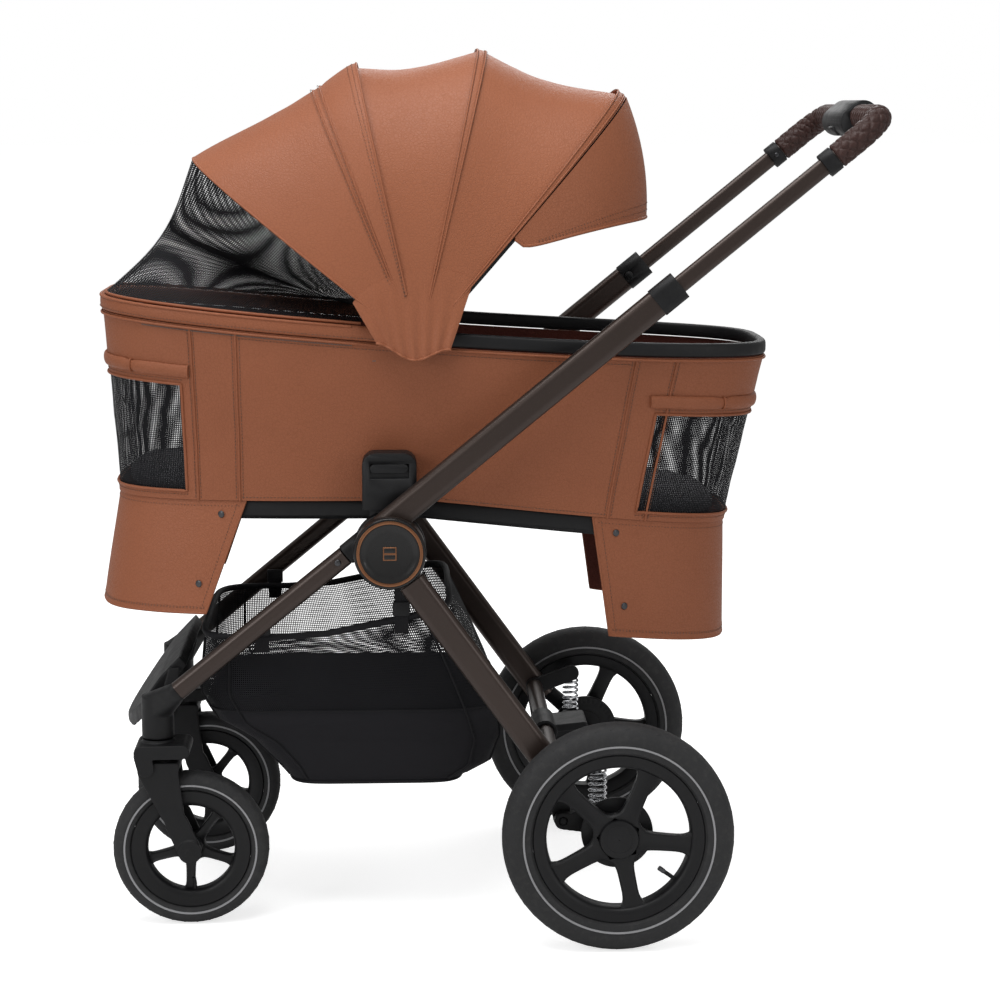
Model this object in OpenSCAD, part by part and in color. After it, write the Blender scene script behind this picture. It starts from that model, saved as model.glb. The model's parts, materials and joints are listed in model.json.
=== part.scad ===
// Pet stroller: a folding wheeled frame that carries a lift-off cot with a canopy.
// +Z is up, +X points to the push handle, -Y is the left side. The floor is Z = 0.

/* [Overall layout] */
// Distance between the rear wheels' centres, side to side
rear_track = 560; // [540:1:620]
// Distance between the front swivels' centres, side to side
front_track = 308; // [290:1:330]
// X of the rear axle
rear_axle_x = 155; // [145:1:165]
// X of the front axle
front_axle_x = -385; // [-400:1:-375]
// X of the folding hub
hub_x = -127; // [-132:1:-122]
// Height of the folding hub
hub_z = 498; // [490:1:506]
// Lean of the handle and of the front legs from the floor, in degrees
frame_tilt = 39.3; // [38.5:0.1:40]
// Drop of the rear legs from the floor, in degrees
rear_leg_tilt = 54; // [53:0.5:55]

/* [Folding hub] */
// Radius of the hub's round discs
hub_r = 45; // [41:0.5:48]
// Radius of the pivot pin
hub_pin_r = 8; // [6:0.5:10]
// Distance from the pivot to the common line of the handle and the front legs
arm_offset = 27; // [25:0.5:29]
// Distance from the middle of the stroller to the middle of each handle tube
handle_half = 220; // [216:1:240]

/* [Handle] */
// Width of the lower handle tubes, across the line of sight from the side
lower_tube_w = 35; // [32:0.5:37]
// Thickness of the lower handle tubes
lower_tube_t = 20; // [19:0.5:21]
// Wall of the lower handle tubes
lower_tube_wall = 1.8; // [1.2:0.1:2.4]
// Width of the sliding upper tubes
upper_tube_w = 22; // [20:0.5:22]
// Thickness of the sliding upper tubes
upper_tube_t = 14; // [12:0.5:14.5]
// Length of the lower tubes, measured from the hub
lower_tube_end = 470; // [440:1:480]
// Distance from the hub to the middle of the push bar
push_bar_at = 808; // [780:1:840]
// Radius of the bend at each end of the push bar
bar_bend_r = 42; // [36:1:50]
// Radius of the push bar's metal tube
bar_r = 11.5; // [11.5:0.1:12.5]
// Wall of the push bar's tube
tube_wall = 1.8; // [1.2:0.1:2.4]
// Radius over the leather of the grips
grip_r = 16; // [14:0.5:17]
// Half the length of the plastic housing in the middle of the push bar
centre_half = 70; // [50:1:90]
// Travel of the telescoping handle
handle_travel = 120; // [80:5:120]

/* [Legs] */
// Width of the front legs
front_leg_w = 25; // [22:0.5:28]
// Width of the rear legs
rear_leg_w = 36; // [33:0.5:39]
// Thickness of the legs, side to side
leg_t = 18; // [16:0.5:18]
// Wall of the legs' tubes
leg_wall = 1.8; // [1.2:0.1:2.4]
// Length of a front leg, from the hub to its lower seam
front_leg_end = 325; // [300:1:335]
// Length of a rear leg from the hub
rear_leg_end = 372; // [360:1:376]

/* [Rear wheels and suspension] */
// Radius of the rear tyres
rear_r = 145; // [143:1:147]
// Radius of the rear rims under the tyre
rear_rim_r = 107.5; // [100:0.5:115]
// Width of the rear tyres
rear_tyre_w = 44; // [40:1:46]
// Radius of the rear axles
rear_axle_r = 6; // [5:0.5:7]
// Outer radius of the suspension springs
spring_r = 12; // [9:0.5:12.5]
// Radius of the spring wire
spring_wire_r = 1.6; // [1:0.1:2]

/* [Front wheels and swivels] */
// Radius of the front tyres
front_r = 100; // [98:1:102]
// Radius of the front rims under the tyre
front_rim_r = 77; // [72:0.5:80]
// Width of the front tyres
front_tyre_w = 36; // [32:1:37]
// Distance from the swivel axis back to the front axle
trail = 40; // [36:1:44]
// Radius of the swivel housings
swivel_r = 20.5; // [18:0.5:23]
// Radius of the swivel pin
kingpin_r = 6; // [5:0.5:7]

/* [Cot] */
// X of the front end of the cot's rim
cot_front_x = -497; // [-500:1:-480]
// X of the rear end of the cot's rim
cot_rear_x = 364; // [345:1:370]
// Half the width of the cot's fabric at the rim
cot_half_w = 178; // [172:1:179]
// Thickness of the cot's padded wall
cot_wall = 5; // [4:0.5:7]
// Thickness of the mattress
mattress_t = 32; // [20:1:45]
// Height of the rim ring
rim_h = 20; // [16:1:24]

/* [Canopy] */
// X of the canopy's pivot
canopy_x = -90; // [-95:1:-85]
// Height of the canopy's pivot
canopy_z = 748; // [744:1:752]
// Half the width of the canopy's fabric
canopy_half_w = 198; // [196:0.5:199]
// Radius of the front bow
bow_a_r = 370; // [360:1:380]
// Radius of the second bow
bow_b_r = 355; // [350:1:370]
// Radius of the middle bow
bow_c_r = 377; // [375:1:390]
// Radius of the rear bow
bow_d_r = 412; // [400:1:420]
// Thickness of the canopy's fabric
fabric_t = 3; // [2:0.5:3]

/* [Basket] */
// Height of the basket's floor
basket_floor_z = 180; // [180:1:195]
// Half the width of the basket at its top
basket_half_w = 170; // [150:1:172]
// Thickness of the basket's wall
basket_wall = 4; // [3:0.5:6]

/* [Hidden] */
$fn = 48;

// Colours
brown_metal = "#4a3a33";
black_plastic = "#1c1c1e";
tan_leather = "#a4694a";
black_fabric = "#202022";
mesh_grey = "#4a4a4c";
rubber = "#252526";
grip_leather = "#3c241d";
steel = "#b9bbbd";

// Named clearances
run_gap = 0.1;      // radial, shaft in bore
face_gap = 1;       // between discs that turn side by side
fit_gap = 0.3;      // between parts that sit together
cut = 1;            // overlap of cutting tools past a face

// Side layers of the hub, as distances from the middle plane
disc_t = 20;
handle_in = handle_half - disc_t / 2;
handle_out = handle_half + disc_t / 2;
housing_out = handle_in - face_gap;
housing_in = housing_out - disc_t;
rear_in = handle_out + face_gap;
rear_disc_t = 14;
rear_mid = rear_in + leg_t / 2;
pin_out = rear_in + rear_disc_t;
cap_t = 6;
front_leg_y = housing_out - 1 - leg_t / 2;
leg_drift = 11;     // the front legs close in by this much on the way down
leg_seam = 50;      // distance of the leg seams from the hub
tube_seam = 48;     // distance of the handle seams from the hub

// Points in the frame's side view, from a distance along and off the main line
function on_line(d, off) =
    [hub_x + d * cos(frame_tilt) - off * sin(frame_tilt),
     hub_z + d * sin(frame_tilt) + off * cos(frame_tilt)];
function rear_point(d) = [hub_x + d * cos(rear_leg_tilt), hub_z - d * sin(rear_leg_tilt)];
function lift(p, y) = [p[0], y, p[1]];
leg_top = lift(on_line(-leg_seam, arm_offset), front_leg_y);
leg_foot = lift(on_line(-front_leg_end, arm_offset), front_leg_y - leg_drift);

// Swivels
swivel_x = front_axle_x - trail;
swivel_y = front_track / 2;
swivel_low_z = 246;
swivel_high_z = 300;
head_top_z = swivel_low_z - 2;
fork_pivot = [swivel_x - 14, 211];
fork_crown_high = 217;
head_low_z = 222;
fork_in = front_tyre_w / 2 + 2.5;
fork_t = 6.5;
fork_out = fork_in + fork_t;
head_half = fork_out + 5;
front_axle_r = 5;

// Rear suspension
wheel_y = rear_track / 2;
arm_pivot = [rear_axle_x - 66, rear_r + 9];
arm_pin_r = 5;
plate_out = rear_in;
plate_t = 9;
plate_in = plate_out - plate_t;
arm_in = plate_out + 1;
arm_out = arm_in + 14;
spring_x = rear_axle_x - 23;
spring_y = plate_out + spring_r + 0.5;
spring_low = rear_r + 28;
spring_high = rear_r + 81;
cross_at = 350;
cross_tube_r = 11;
rear_hub_in = wheel_y - rear_tyre_w / 2 + 3;
rear_hub_out = wheel_y + rear_tyre_w / 2 - 2;

// Cot heights and plan
cot_n = 3.5;                // squareness of the cot's plan
cot_steps = 48;             // points around the cot
low_front_x = cot_front_x + 16;
low_rear_x = cot_rear_x - 49;
low_half_w = cot_half_w - 13;
base_t = 25;
base_rail = 26;             // how far in the rail under the floor reaches
base_board = 5;
bend_x = -80;               // the floor starts to drop behind this
function floor_z(x) = x < bend_x ? 551 : 551 - 0.11 * (x - bend_x);
function rim_z(x) = 762 - 0.065 * x + 0.00005 * x * x;

// Maths for outlines
function spow(v, e) = sign(v) * pow(abs(v), e);
function squircle(x0, x1, b, n, t) =
    [(x0 + x1) / 2 + (x1 - x0) / 2 * spow(cos(t), 2 / n), b * spow(sin(t), 2 / n)];
// Plan of the cot at level v (0 at the floor, 1 at the rim), moved out by off
function cot_plan(v, off, t) =
    squircle(low_front_x + v * (cot_front_x - low_front_x) - off,
             low_rear_x + v * (cot_rear_x - low_rear_x) + off,
             low_half_w + v * (cot_half_w - low_half_w) + off, cot_n, t);
function cot_z(v, x) = floor_z(x) + v * (rim_z(x) - rim_h - floor_z(x));
function cot_point(v, off, t, dz = 0) =
    let (p = cot_plan(v, off, t)) [p[0], p[1], cot_z(v, p[0]) + dz];
function ring(v, off, dz = 0, steps = cot_steps) =
    [for (i = [0:steps - 1]) cot_point(v, off, 360 * i / steps, dz)];

// Faces that close a stack of equal rings: sides, then strips over each end
function side_faces(levels, n) =
    [for (k = [0:levels - 2]) for (i = [0:n - 1])
        [k * n + i, (k + 1) * n + i, (k + 1) * n + (i + 1) % n, k * n + (i + 1) % n]];
function strip_faces(base, n, up) =
    [for (i = [0:n / 2 - 1])
        let (a = base + i, b = base + i + 1, c = base + (n - i - 1) % n, d = base + (n - i) % n)
        let (f = i == 0 ? [a, b, c] : (i == n / 2 - 1 ? [a, b, d] : [a, b, c, d]))
        up ? [for (j = [len(f) - 1:-1:0]) f[j]] : f];
// A closed stack of rings, such as a tub, a board or a pad
module stack(rings) {
    n = len(rings[0]);
    k = len(rings);
    polyhedron(
        points = [for (r = rings) for (p = r) p],
        faces = concat(side_faces(k, n), strip_faces(0, n, false), strip_faces((k - 1) * n, n, true)));
}
// A closed sheet between two equal grids of points
module skin(outer, inner) {
    m = len(outer);
    n = len(outer[0]);
    o = m * n;
    polyhedron(
        points = concat([for (r = outer) for (p = r) p], [for (r = inner) for (p = r) p]),
        faces = concat(
            [for (i = [0:m - 2]) for (j = [0:n - 2])
                [i * n + j, (i + 1) * n + j, (i + 1) * n + j + 1, i * n + j + 1]],
            [for (i = [0:m - 2]) for (j = [0:n - 2])
                [o + i * n + j, o + i * n + j + 1, o + (i + 1) * n + j + 1, o + (i + 1) * n + j]],
            [for (j = [0:n - 2]) [j, j + 1, o + j + 1, o + j]],
            [for (j = [0:n - 2]) [(m - 1) * n + j + 1, (m - 1) * n + j, o + (m - 1) * n + j,
                o + (m - 1) * n + j + 1]],
            [for (i = [0:m - 2]) [(i + 1) * n, i * n, o + i * n, o + (i + 1) * n]],
            [for (i = [0:m - 2]) [i * n + n - 1, (i + 1) * n + n - 1, o + (i + 1) * n + n - 1,
                o + i * n + n - 1]]));
}
// A tube of closed sections, one for each frame along a path
module sweep(sections) {
    n = len(sections[0]);
    k = len(sections);
    polyhedron(
        points = [for (s = sections) for (p = s) p],
        faces = concat(
            [for (i = [0:k - 2]) for (j = [0:n - 1])
                [i * n + j, i * n + (j + 1) % n, (i + 1) * n + (j + 1) % n, (i + 1) * n + j]],
            [[for (j = [n - 1:-1:0]) j]],
            [[for (j = [0:n - 1]) (k - 1) * n + j]]));
}

// Places the children on one side: -1 is left, 1 is right
module side(s) {
    if (s < 0) mirror([0, 1, 0]) children();
    else children();
}
// Places the children on both sides
module both() {
    side(-1) children();
    side(1) children();
}
// Lays the children's X axis from one point to another
module lay(p, q) {
    v = q - p;
    translate(p)
        rotate([0, -atan2(v[2], norm([v[0], v[1]])), atan2(v[1], v[0])])
            children();
}
// Side-view axes of the handle line: X along the tube, Z across it, Y as it is
module handle_axes() {
    translate([hub_x, 0, hub_z]) rotate([0, -frame_tilt, 0]) children();
}
module rear_axes() {
    translate([hub_x, 0, hub_z]) rotate([0, rear_leg_tilt, 0]) children();
}
// Flat-sided oval, w high and t wide
module oval(t, w) {
    circle(d = t);
    translate([0, (w - t) / 2]) circle(d = t);
    translate([0, (t - w) / 2]) circle(d = t);
    square([t, w - t], center = true);
}
// Bar of oval section along X
module oval_bar(t, w, length) {
    rotate([90, 0, 90]) linear_extrude(length) oval(t, w);
}
// Disc on the Y axis between two distances
module disc(r, y0, y1) {
    translate([0, y0, 0]) rotate([-90, 0, 0]) cylinder(r = r, h = y1 - y0);
}
// Side-view outline in X and Z, given a thickness in Y
module plate(y0, y1) {
    translate([0, y1, 0]) rotate([90, 0, 0]) linear_extrude(y1 - y0) children();
}
// Strip with round ends in a side view, its sides a hair inside the round ends
module link(p, q, r) {
    v = q - p;
    w = r - 0.02;
    translate(p) circle(r = r);
    translate(q) circle(r = r);
    translate(p) rotate(atan2(v[1], v[0])) translate([0, -w]) square([norm(v), 2 * w]);
}

// Front legs and hub
module front_leg(s) {
    color(brown_metal) side(s)
        lay(leg_top, leg_foot)
            difference() {
                oval_bar(leg_t, front_leg_w, norm(leg_foot - leg_top));
                translate([-cut, 0, 0])
                    oval_bar(leg_t - 2 * leg_wall, front_leg_w - 2 * leg_wall,
                             norm(leg_foot - leg_top) + 2 * cut);
            }
}
lever_depth = 4;            // recess for the release lever in the bracket's outer face
post_w = 30;
post_in = housing_in + 3;
post_out = housing_out - lever_depth - 2;
post_top = hub_z + 100;
module hub_housing(s) {
    color(black_plastic) side(s) {
        translate([hub_x, 0, hub_z]) {
            disc(hub_r, housing_in, housing_out);
            disc(hub_pin_r, housing_out - cut, pin_out);
        }
        lay(lift(on_line(0, arm_offset), front_leg_y), leg_top)
            oval_bar(leg_t, front_leg_w + 3, leg_seam - 0.9);
        translate([hub_x - post_w / 2, post_in, hub_z + hub_r - 6])
            cube([post_w, post_out - post_in, post_top - hub_z - hub_r + 6]);
    }
}
module hub_caps() {
    color(black_plastic) both()
        translate([hub_x, 0, hub_z])
            difference() {
                disc(hub_r, pin_out, pin_out + cap_t);
                translate([0, pin_out + cap_t - 1.5, 0]) rotate([-90, 0, 0]) difference() {
                    cylinder(r = hub_r - 3, h = 3);
                    translate([0, 0, -cut]) cylinder(r = hub_r - 6, h = 3 + 2 * cut);
                }
            }
}

// Front bridge between the swivels
bridge_half = swivel_y - swivel_r - fit_gap;
module front_bridge() {
    color(black_plastic)
        intersection() {
            plate(-bridge_half, bridge_half)
                polygon([[-398, 345], [-424, 318], [-444, 290], [-478, 246], [-474, 240],
                         [-462, 244], [-432, 283], [-412, 308], [-389, 333]]);
            translate([0, 0, swivel_low_z - 20])
                linear_extrude(140)
                    intersection() {
                        translate([-388 + 210, 0]) circle(r = 300);
                        translate([-700, -bridge_half]) square([320, 2 * bridge_half]);
                    }
        }
}
module swivel_housing(s) {
    bore_top = swivel_high_z - 8;
    color(black_plastic) side(s)
        difference() {
            union() {
                translate([swivel_x, swivel_y, swivel_low_z])
                    cylinder(r = swivel_r, h = swivel_high_z - swivel_low_z);
                hull() {
                    translate([swivel_x, swivel_y, swivel_high_z - 26])
                        cylinder(r = swivel_r - 2, h = 26, $fn = 32);
                    lay(leg_foot, 2 * leg_foot - leg_top)
                        oval_bar(leg_t, front_leg_w, 6, $fn = 32);
                }
                hull() {
                    translate([swivel_x + 4, swivel_y - 12, swivel_high_z - 22])
                        cube([16, 4, 20]);
                    translate([leg_foot[0] - 16, bridge_half, leg_foot[2] - 8])
                        cube([14, 4, 26]);
                }
            }
            translate([swivel_x, swivel_y, swivel_low_z - cut])
                cylinder(r = kingpin_r + run_gap, h = bore_top - swivel_low_z + cut);
        }
}

// Basket: rings from its floor to its top edge
basket_n = 7;
basket_steps = 40;
basket_front_reach = front_leg_y - leg_t / 2 - 6.5;
function basket_top(x) = 377 + max(0, x + 230) * 0.2;
// Each level: front X, rear X, half width, height
basket_levels = [
    [-258, -36, basket_half_w - 20, basket_floor_z],
    [-276, 4, basket_half_w - 15, basket_floor_z + 22],
    [-310, 18, basket_half_w - 10, basket_floor_z + 56],
    [-354, 16, basket_half_w - 5, basket_floor_z + 82],
    [-376, 2, basket_half_w - 3, basket_floor_z + 120]
];
function basket_ring(l, off, dz) =
    [for (i = [0:basket_steps - 1])
        let (p = squircle(l[0] - off, l[1] + off, l[2] + off, basket_n, 360 * i / basket_steps))
        [p[0], p[1], l[3] + dz]];
function basket_edge(off) =
    [for (i = [0:basket_steps - 1])
        let (p = squircle(-368 - off, -50 + off, basket_half_w + off, basket_n, 360 * i / basket_steps))
        [p[0], p[1], basket_top(p[0])]];
// Straps that hang the basket from the hub and from the front legs
module basket_strap(x, low, high, reach) {
    side_y = basket_half_w - basket_wall;
    translate([x - 9, side_y, low]) cube([18, 2.5, high - low]);
    translate([x - 9, side_y, high - 10]) cube([18, reach - side_y, 10]);
}
module basket() {
    color(black_fabric) {
        both() {
            basket_strap(hub_x + 14, basket_top(hub_x) - 16, hub_z - hub_r + 25, housing_in - fit_gap);
            basket_strap(-290, basket_top(-290) - 16, 398, basket_front_reach);
        }
        basket_tub();
    }
}
module basket_tub() {
    stack(concat(
        [for (l = basket_levels) basket_ring(l, 0, 0)],
        [basket_edge(0), basket_edge(-basket_wall)],
        [for (k = [len(basket_levels) - 1:-1:1]) basket_ring(basket_levels[k], -basket_wall, 0)],
        [basket_ring(basket_levels[0], -basket_wall, basket_wall)]));
}

// Rear legs
module rear_leg(s) {
    color(brown_metal) side(s)
        rear_axes()
            difference() {
                union() {
                    disc(hub_r - 1, rear_in, pin_out - 0.5);
                    translate([hub_r + 1, rear_mid, 0])
                        oval_bar(leg_t, rear_leg_w, rear_leg_end - hub_r - 1);
                    translate([20, rear_in, -rear_leg_w / 2 + 3])
                        cube([hub_r, rear_disc_t - 0.5, rear_leg_w - 6]);
                }
                disc(hub_pin_r + run_gap, rear_in - cut, pin_out + cut);
                translate([hub_r + 25, rear_mid, 0])
                    oval_bar(leg_t - 2 * leg_wall, rear_leg_w - 2 * leg_wall, rear_leg_end);
            }
}
module rear_bracket(s) {
    seat = [spring_x, spring_high + 2];
    tube_at = rear_point(cross_at);
    color(black_plastic) side(s) {
        plate(plate_in, plate_out) {
            link(tube_at, arm_pivot, 12);
            link(tube_at, seat + [0, 6], 11);
        }
        plate(plate_out, spring_y + spring_r) {
            intersection() {
                link(tube_at + [42, 4], seat + [0, 4], 9);
                translate([tube_at[0] + 32, spring_high]) square([60, 40]);
            }
        }
        translate([arm_pivot[0], 0, arm_pivot[1]])
            disc(arm_pin_r, plate_out - cut, arm_out + 1);
    }
}
module rear_cross_tube() {
    color(brown_metal)
        translate(lift(rear_point(cross_at), 0))
            difference() {
                disc(cross_tube_r, -plate_in, plate_in);
                disc(cross_tube_r - 2, 15 - plate_in, plate_in - 15);
            }
}
pedal_half = 38;
module brake_pedal() {
    sleeve_r = cross_tube_r + 5;
    color(black_plastic)
        translate(lift(rear_point(cross_at), 0))
            difference() {
                union() {
                    disc(sleeve_r, -pedal_half, pedal_half);
                    plate(-pedal_half + 4, pedal_half - 4)
                        link([sleeve_r - 4, 4], [52, 8], 5);
                }
                disc(cross_tube_r + run_gap, -pedal_half - cut, pedal_half + cut);
            }
}
module rear_arm(s) {
    axle = [rear_axle_x, rear_r];
    cup = [spring_x, spring_low - 6];
    color(black_plastic) side(s) {
        difference() {
            plate(arm_in, arm_out) {
                link(arm_pivot, axle, 11);
                link(axle, cup, 9);
                intersection() {
                    link(arm_pivot + [14, 2], cup, 9);
                    translate([0, 0]) square([400, spring_low]);
                }
            }
            translate([arm_pivot[0], 0, arm_pivot[1]])
                disc(arm_pin_r + run_gap, arm_in - cut, arm_out + cut);
            translate([0, arm_in - cut, spring_low])
                cube([400, arm_out - arm_in + 2 * cut, 60]);
        }
        translate([rear_axle_x, 0, rear_r])
            disc(rear_axle_r, arm_out - cut, rear_hub_out - 4);
        translate([spring_x, spring_y, spring_low - 6]) cylinder(r = spring_r, h = 6);
    }
}
spring_turns = 6;
spring_seg = 12;
module rear_spring(s) {
    mean_r = spring_r - spring_wire_r;
    low = spring_low + spring_wire_r + fit_gap;
    high = spring_high - spring_wire_r - fit_gap;
    count = spring_turns * spring_seg;
    color(steel) side(s)
        translate([spring_x, spring_y, 0])
            sweep([for (i = [0:count])
                let (a = 360 * i / spring_seg, z = low + (high - low) * i / count)
                [for (j = [0:5])
                    let (r = mean_r + spring_wire_r * cos(60 * j))
                    [r * cos(a), r * sin(a), z + spring_wire_r * sin(60 * j)]]]);
}

// Wheels, drawn on the Y axis around their own centre
module spokes(count, r0, r1, w, t, turn, y) {
    for (i = [0:count - 1])
        rotate([0, -(turn + 360 * i / count), 0])
            translate([r0, y - t / 2, -w / 2])
                cube([r1 - r0, t, w]);
}
module ring_on_y(points) {
    rotate([-90, 0, 0]) rotate_extrude($fn = 96) polygon(points);
}
function tyre_section(rim, r, w) =
    let (mid = rim + (r - rim) * 0.45, a = w / 2, up = r - mid, down = mid - rim)
    concat(
        [for (t = [0:15:180]) [mid + up * sin(t), a * spow(cos(t), 0.8)]],
        [[rim + 3, -a + 2], [rim, -a + 6], [rim, a - 6], [rim + 3, a - 2]]);
module rim(r, w, hub, hub_in, hub_out, opening, spoke_w, turn, bore, y) {
    difference() {
        union() {
            ring_on_y([[opening, -w / 2 + 6], [opening, w / 2 - 4], [opening + 4, w / 2],
                       [r, w / 2], [r, -w / 2], [opening + 4, -w / 2]]);
            disc(hub, hub_in, hub_out);
            spokes(5, hub - 3, opening + 2, spoke_w, 14, turn, y);
        }
        disc(bore, hub_in - cut, hub_out - 3);
    }
}
spoke_turn_rear = 66;
spoke_turn_front = 20;
module at_rear_wheel(s) {
    side(s) translate([rear_axle_x, wheel_y, rear_r]) children();
}
module rear_rim(s) {
    color(black_plastic)
        at_rear_wheel(s)
            rim(rear_rim_r - 0.2, rear_tyre_w - 10, 25, rear_hub_in - wheel_y,
                rear_hub_out - wheel_y, 90, 22, spoke_turn_rear, rear_axle_r + run_gap, 8);
}
module rear_tyre(s) {
    color(rubber)
        at_rear_wheel(s) ring_on_y(tyre_section(rear_rim_r, rear_r, rear_tyre_w));
}
// Front swivels, forks and wheels
module fork_head(s) {
    color(black_plastic) side(s) {
        translate([swivel_x, swivel_y, head_top_z - cut])
            cylinder(r = kingpin_r, h = swivel_high_z - 14 - head_top_z);
        translate([swivel_x, swivel_y, head_top_z - 5]) cylinder(r = swivel_r, h = 5);
        translate([0, swivel_y, 0]) {
            plate(-head_half, head_half)
                link([swivel_x - 20, head_low_z + 9], [swivel_x + 33, head_low_z + 10], 9);
            for (e = [-1, 1]) side(e)
                plate(fork_out + fit_gap, head_half)
                    link(fork_pivot + [-4, 16], fork_pivot, 11);
            translate([fork_pivot[0], 0, fork_pivot[1]])
                disc(3, -head_half, head_half);
        }
    }
}
module fork(s) {
    axle = [front_axle_x, front_r];
    color(black_plastic) side(s)
        translate([0, swivel_y, 0]) {
            difference() {
                union() {
                    plate(-fork_out, fork_out)
                        difference() {
                            link(fork_pivot + [-3, 0], [swivel_x + 22, fork_crown_high - 6], 7);
                            translate([-600, fork_crown_high]) square([400, 40]);
                        }
                    for (e = [-1, 1]) side(e)
                        plate(fork_in, fork_out) {
                            link(fork_pivot + [2, -6], axle + [-16, 36], 13);
                            link(axle + [-16, 36], axle, 15);
                            link([swivel_x + 16, fork_crown_high - 12], axle + [-16, 36], 11);
                        }
                }
                translate([fork_pivot[0], 0, fork_pivot[1]])
                    disc(3 + run_gap, -fork_out - cut, fork_out + cut);
                translate([-600, -fork_out - cut, fork_crown_high])
                    cube([400, 2 * fork_out + 2 * cut, 40]);
            }
            translate([axle[0], 0, axle[1]]) disc(front_axle_r, -fork_out, fork_out + 4);
            translate([axle[0], 0, axle[1]]) disc(15, fork_out - cut, fork_out + 3);
        }
}
module fork_pad(s) {
    color(rubber) side(s)
        translate([swivel_x + 12, swivel_y - 9, fork_crown_high + fit_gap])
            cube([14, 18, head_low_z - fork_crown_high - 2 * fit_gap + 0.4]);
}
module at_front_wheel(s) {
    side(s) translate([front_axle_x, swivel_y, front_r]) children();
}
module front_rim(s) {
    hub_half = fork_in - 1;
    color(black_plastic)
        at_front_wheel(s)
            difference() {
                rim(front_rim_r - 0.2, front_tyre_w - 8, 16, -hub_half, hub_half, 56, 12,
                    spoke_turn_front, front_axle_r + run_gap, 0);
                disc(front_axle_r + run_gap, -hub_half - cut, hub_half + cut);
            }
}
module front_tyre(s) {
    color(rubber)
        at_front_wheel(s) ring_on_y(tyre_section(front_rim_r, front_r, front_tyre_w));
}

// Handle
button_at = lower_tube_end - 13;
button_r = 6;
collar_skirt = 12;
collar_grow = 1.5;
module handle_tube(s) {
    inner_t = lower_tube_t - 2 * lower_tube_wall;
    inner_w = lower_tube_w - 2 * lower_tube_wall;
    color(brown_metal) side(s)
        handle_axes()
            difference() {
                union() {
                    disc(hub_r - 1, handle_in, handle_out);
                    translate([10, handle_half, arm_offset])
                        oval_bar(lower_tube_t, lower_tube_w, lower_tube_end - 10);
                }
                disc(hub_pin_r + run_gap, handle_in - cut, handle_out + cut);
                translate([tube_seam + 12, handle_half, arm_offset])
                    oval_bar(inner_t, inner_w, lower_tube_end);
                translate([button_at, 0, arm_offset])
                    disc(button_r + run_gap, handle_in - cut, handle_half);
            }
}
module handle_collars() {
    color(black_plastic) both()
        handle_axes()
            translate([0, handle_half, arm_offset])
                difference() {
                    translate([lower_tube_end - collar_skirt - 8, 0, 0])
                        oval_bar(lower_tube_t + 2 * collar_grow, lower_tube_w + 2 * collar_grow,
                                 collar_skirt + 24);
                    translate([lower_tube_end - collar_skirt - 8 - cut, 0, 0])
                        oval_bar(lower_tube_t + 0.2, lower_tube_w + 0.2, collar_skirt + 8 + cut);
                    translate([lower_tube_end - cut, 0, 0])
                        oval_bar(upper_tube_t + 4 * run_gap, upper_tube_w + 4 * run_gap, 30);
                    translate([button_at, 0, 0])
                        disc(button_r + run_gap, -lower_tube_t, 0);
                }
}
module lock_button(s) {
    out = handle_in - collar_grow - 2.6;
    color(black_plastic) side(s)
        handle_axes()
            translate([button_at, 0, arm_offset])
                disc(button_r, out, handle_half - upper_tube_t / 2 - 2.4);
}
// Children in the plane of the handle loop: X along the tubes, Y to the side
module loop_path(r_out, r_in, leg_from, bar_from) {
    bend_at = push_bar_at - bar_bend_r;
    both() {
        if (leg_from < bend_at)
            translate([leg_from, handle_half, 0]) rotate([90, 0, 90])
                linear_extrude(bend_at - leg_from) loop_section(r_out, r_in);
        translate([bend_at, handle_half - bar_bend_r, 0])
            rotate_extrude(angle = 90)
                translate([bar_bend_r, 0]) loop_section(r_out, r_in);
        translate([push_bar_at, bar_from, 0]) rotate([-90, 0, 0])
            linear_extrude(handle_half - bar_bend_r - bar_from) loop_section(r_out, r_in);
    }
}
module loop_section(r_out, r_in) {
    difference() {
        circle(r = r_out);
        if (r_in > 0) circle(r = r_in);
    }
}
clamp_at = push_bar_at - bar_bend_r - 52;
clamp_len = 18;
tube_overlap = 40;          // length that stays inside when the handle is drawn out
upper_tube_start = lower_tube_end - handle_travel - tube_overlap;
module handle_loop() {
    color(brown_metal)
        handle_axes()
            translate([0, 0, arm_offset]) {
                loop_path(bar_r, bar_r - tube_wall, clamp_at + clamp_len, 0);
                both()
                    translate([upper_tube_start, handle_half, 0])
                        difference() {
                            oval_bar(upper_tube_t, upper_tube_w,
                                     clamp_at + clamp_len + cut - upper_tube_start);
                            translate([-cut, 0, 0])
                                oval_bar(upper_tube_t - 2 * tube_wall, upper_tube_w - 2 * tube_wall,
                                         clamp_at + clamp_len - 3 - upper_tube_start);
                        }
            }
}
module handle_clamps() {
    color(black_plastic) both()
        handle_axes()
            translate([clamp_at, handle_half, arm_offset])
                difference() {
                    oval_bar(upper_tube_t + 10, upper_tube_w + 10, clamp_len);
                    translate([-cut, 0, 0])
                        oval_bar(upper_tube_t + 0.1, upper_tube_w + 0.1, clamp_len + 2 * cut);
                }
}
module handle_grips() {
    color(grip_leather)
        handle_axes()
            translate([0, 0, arm_offset])
                loop_path(grip_r, bar_r + 0.1, clamp_at + clamp_len + 1, centre_half);
}
button_in = 8;
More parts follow.
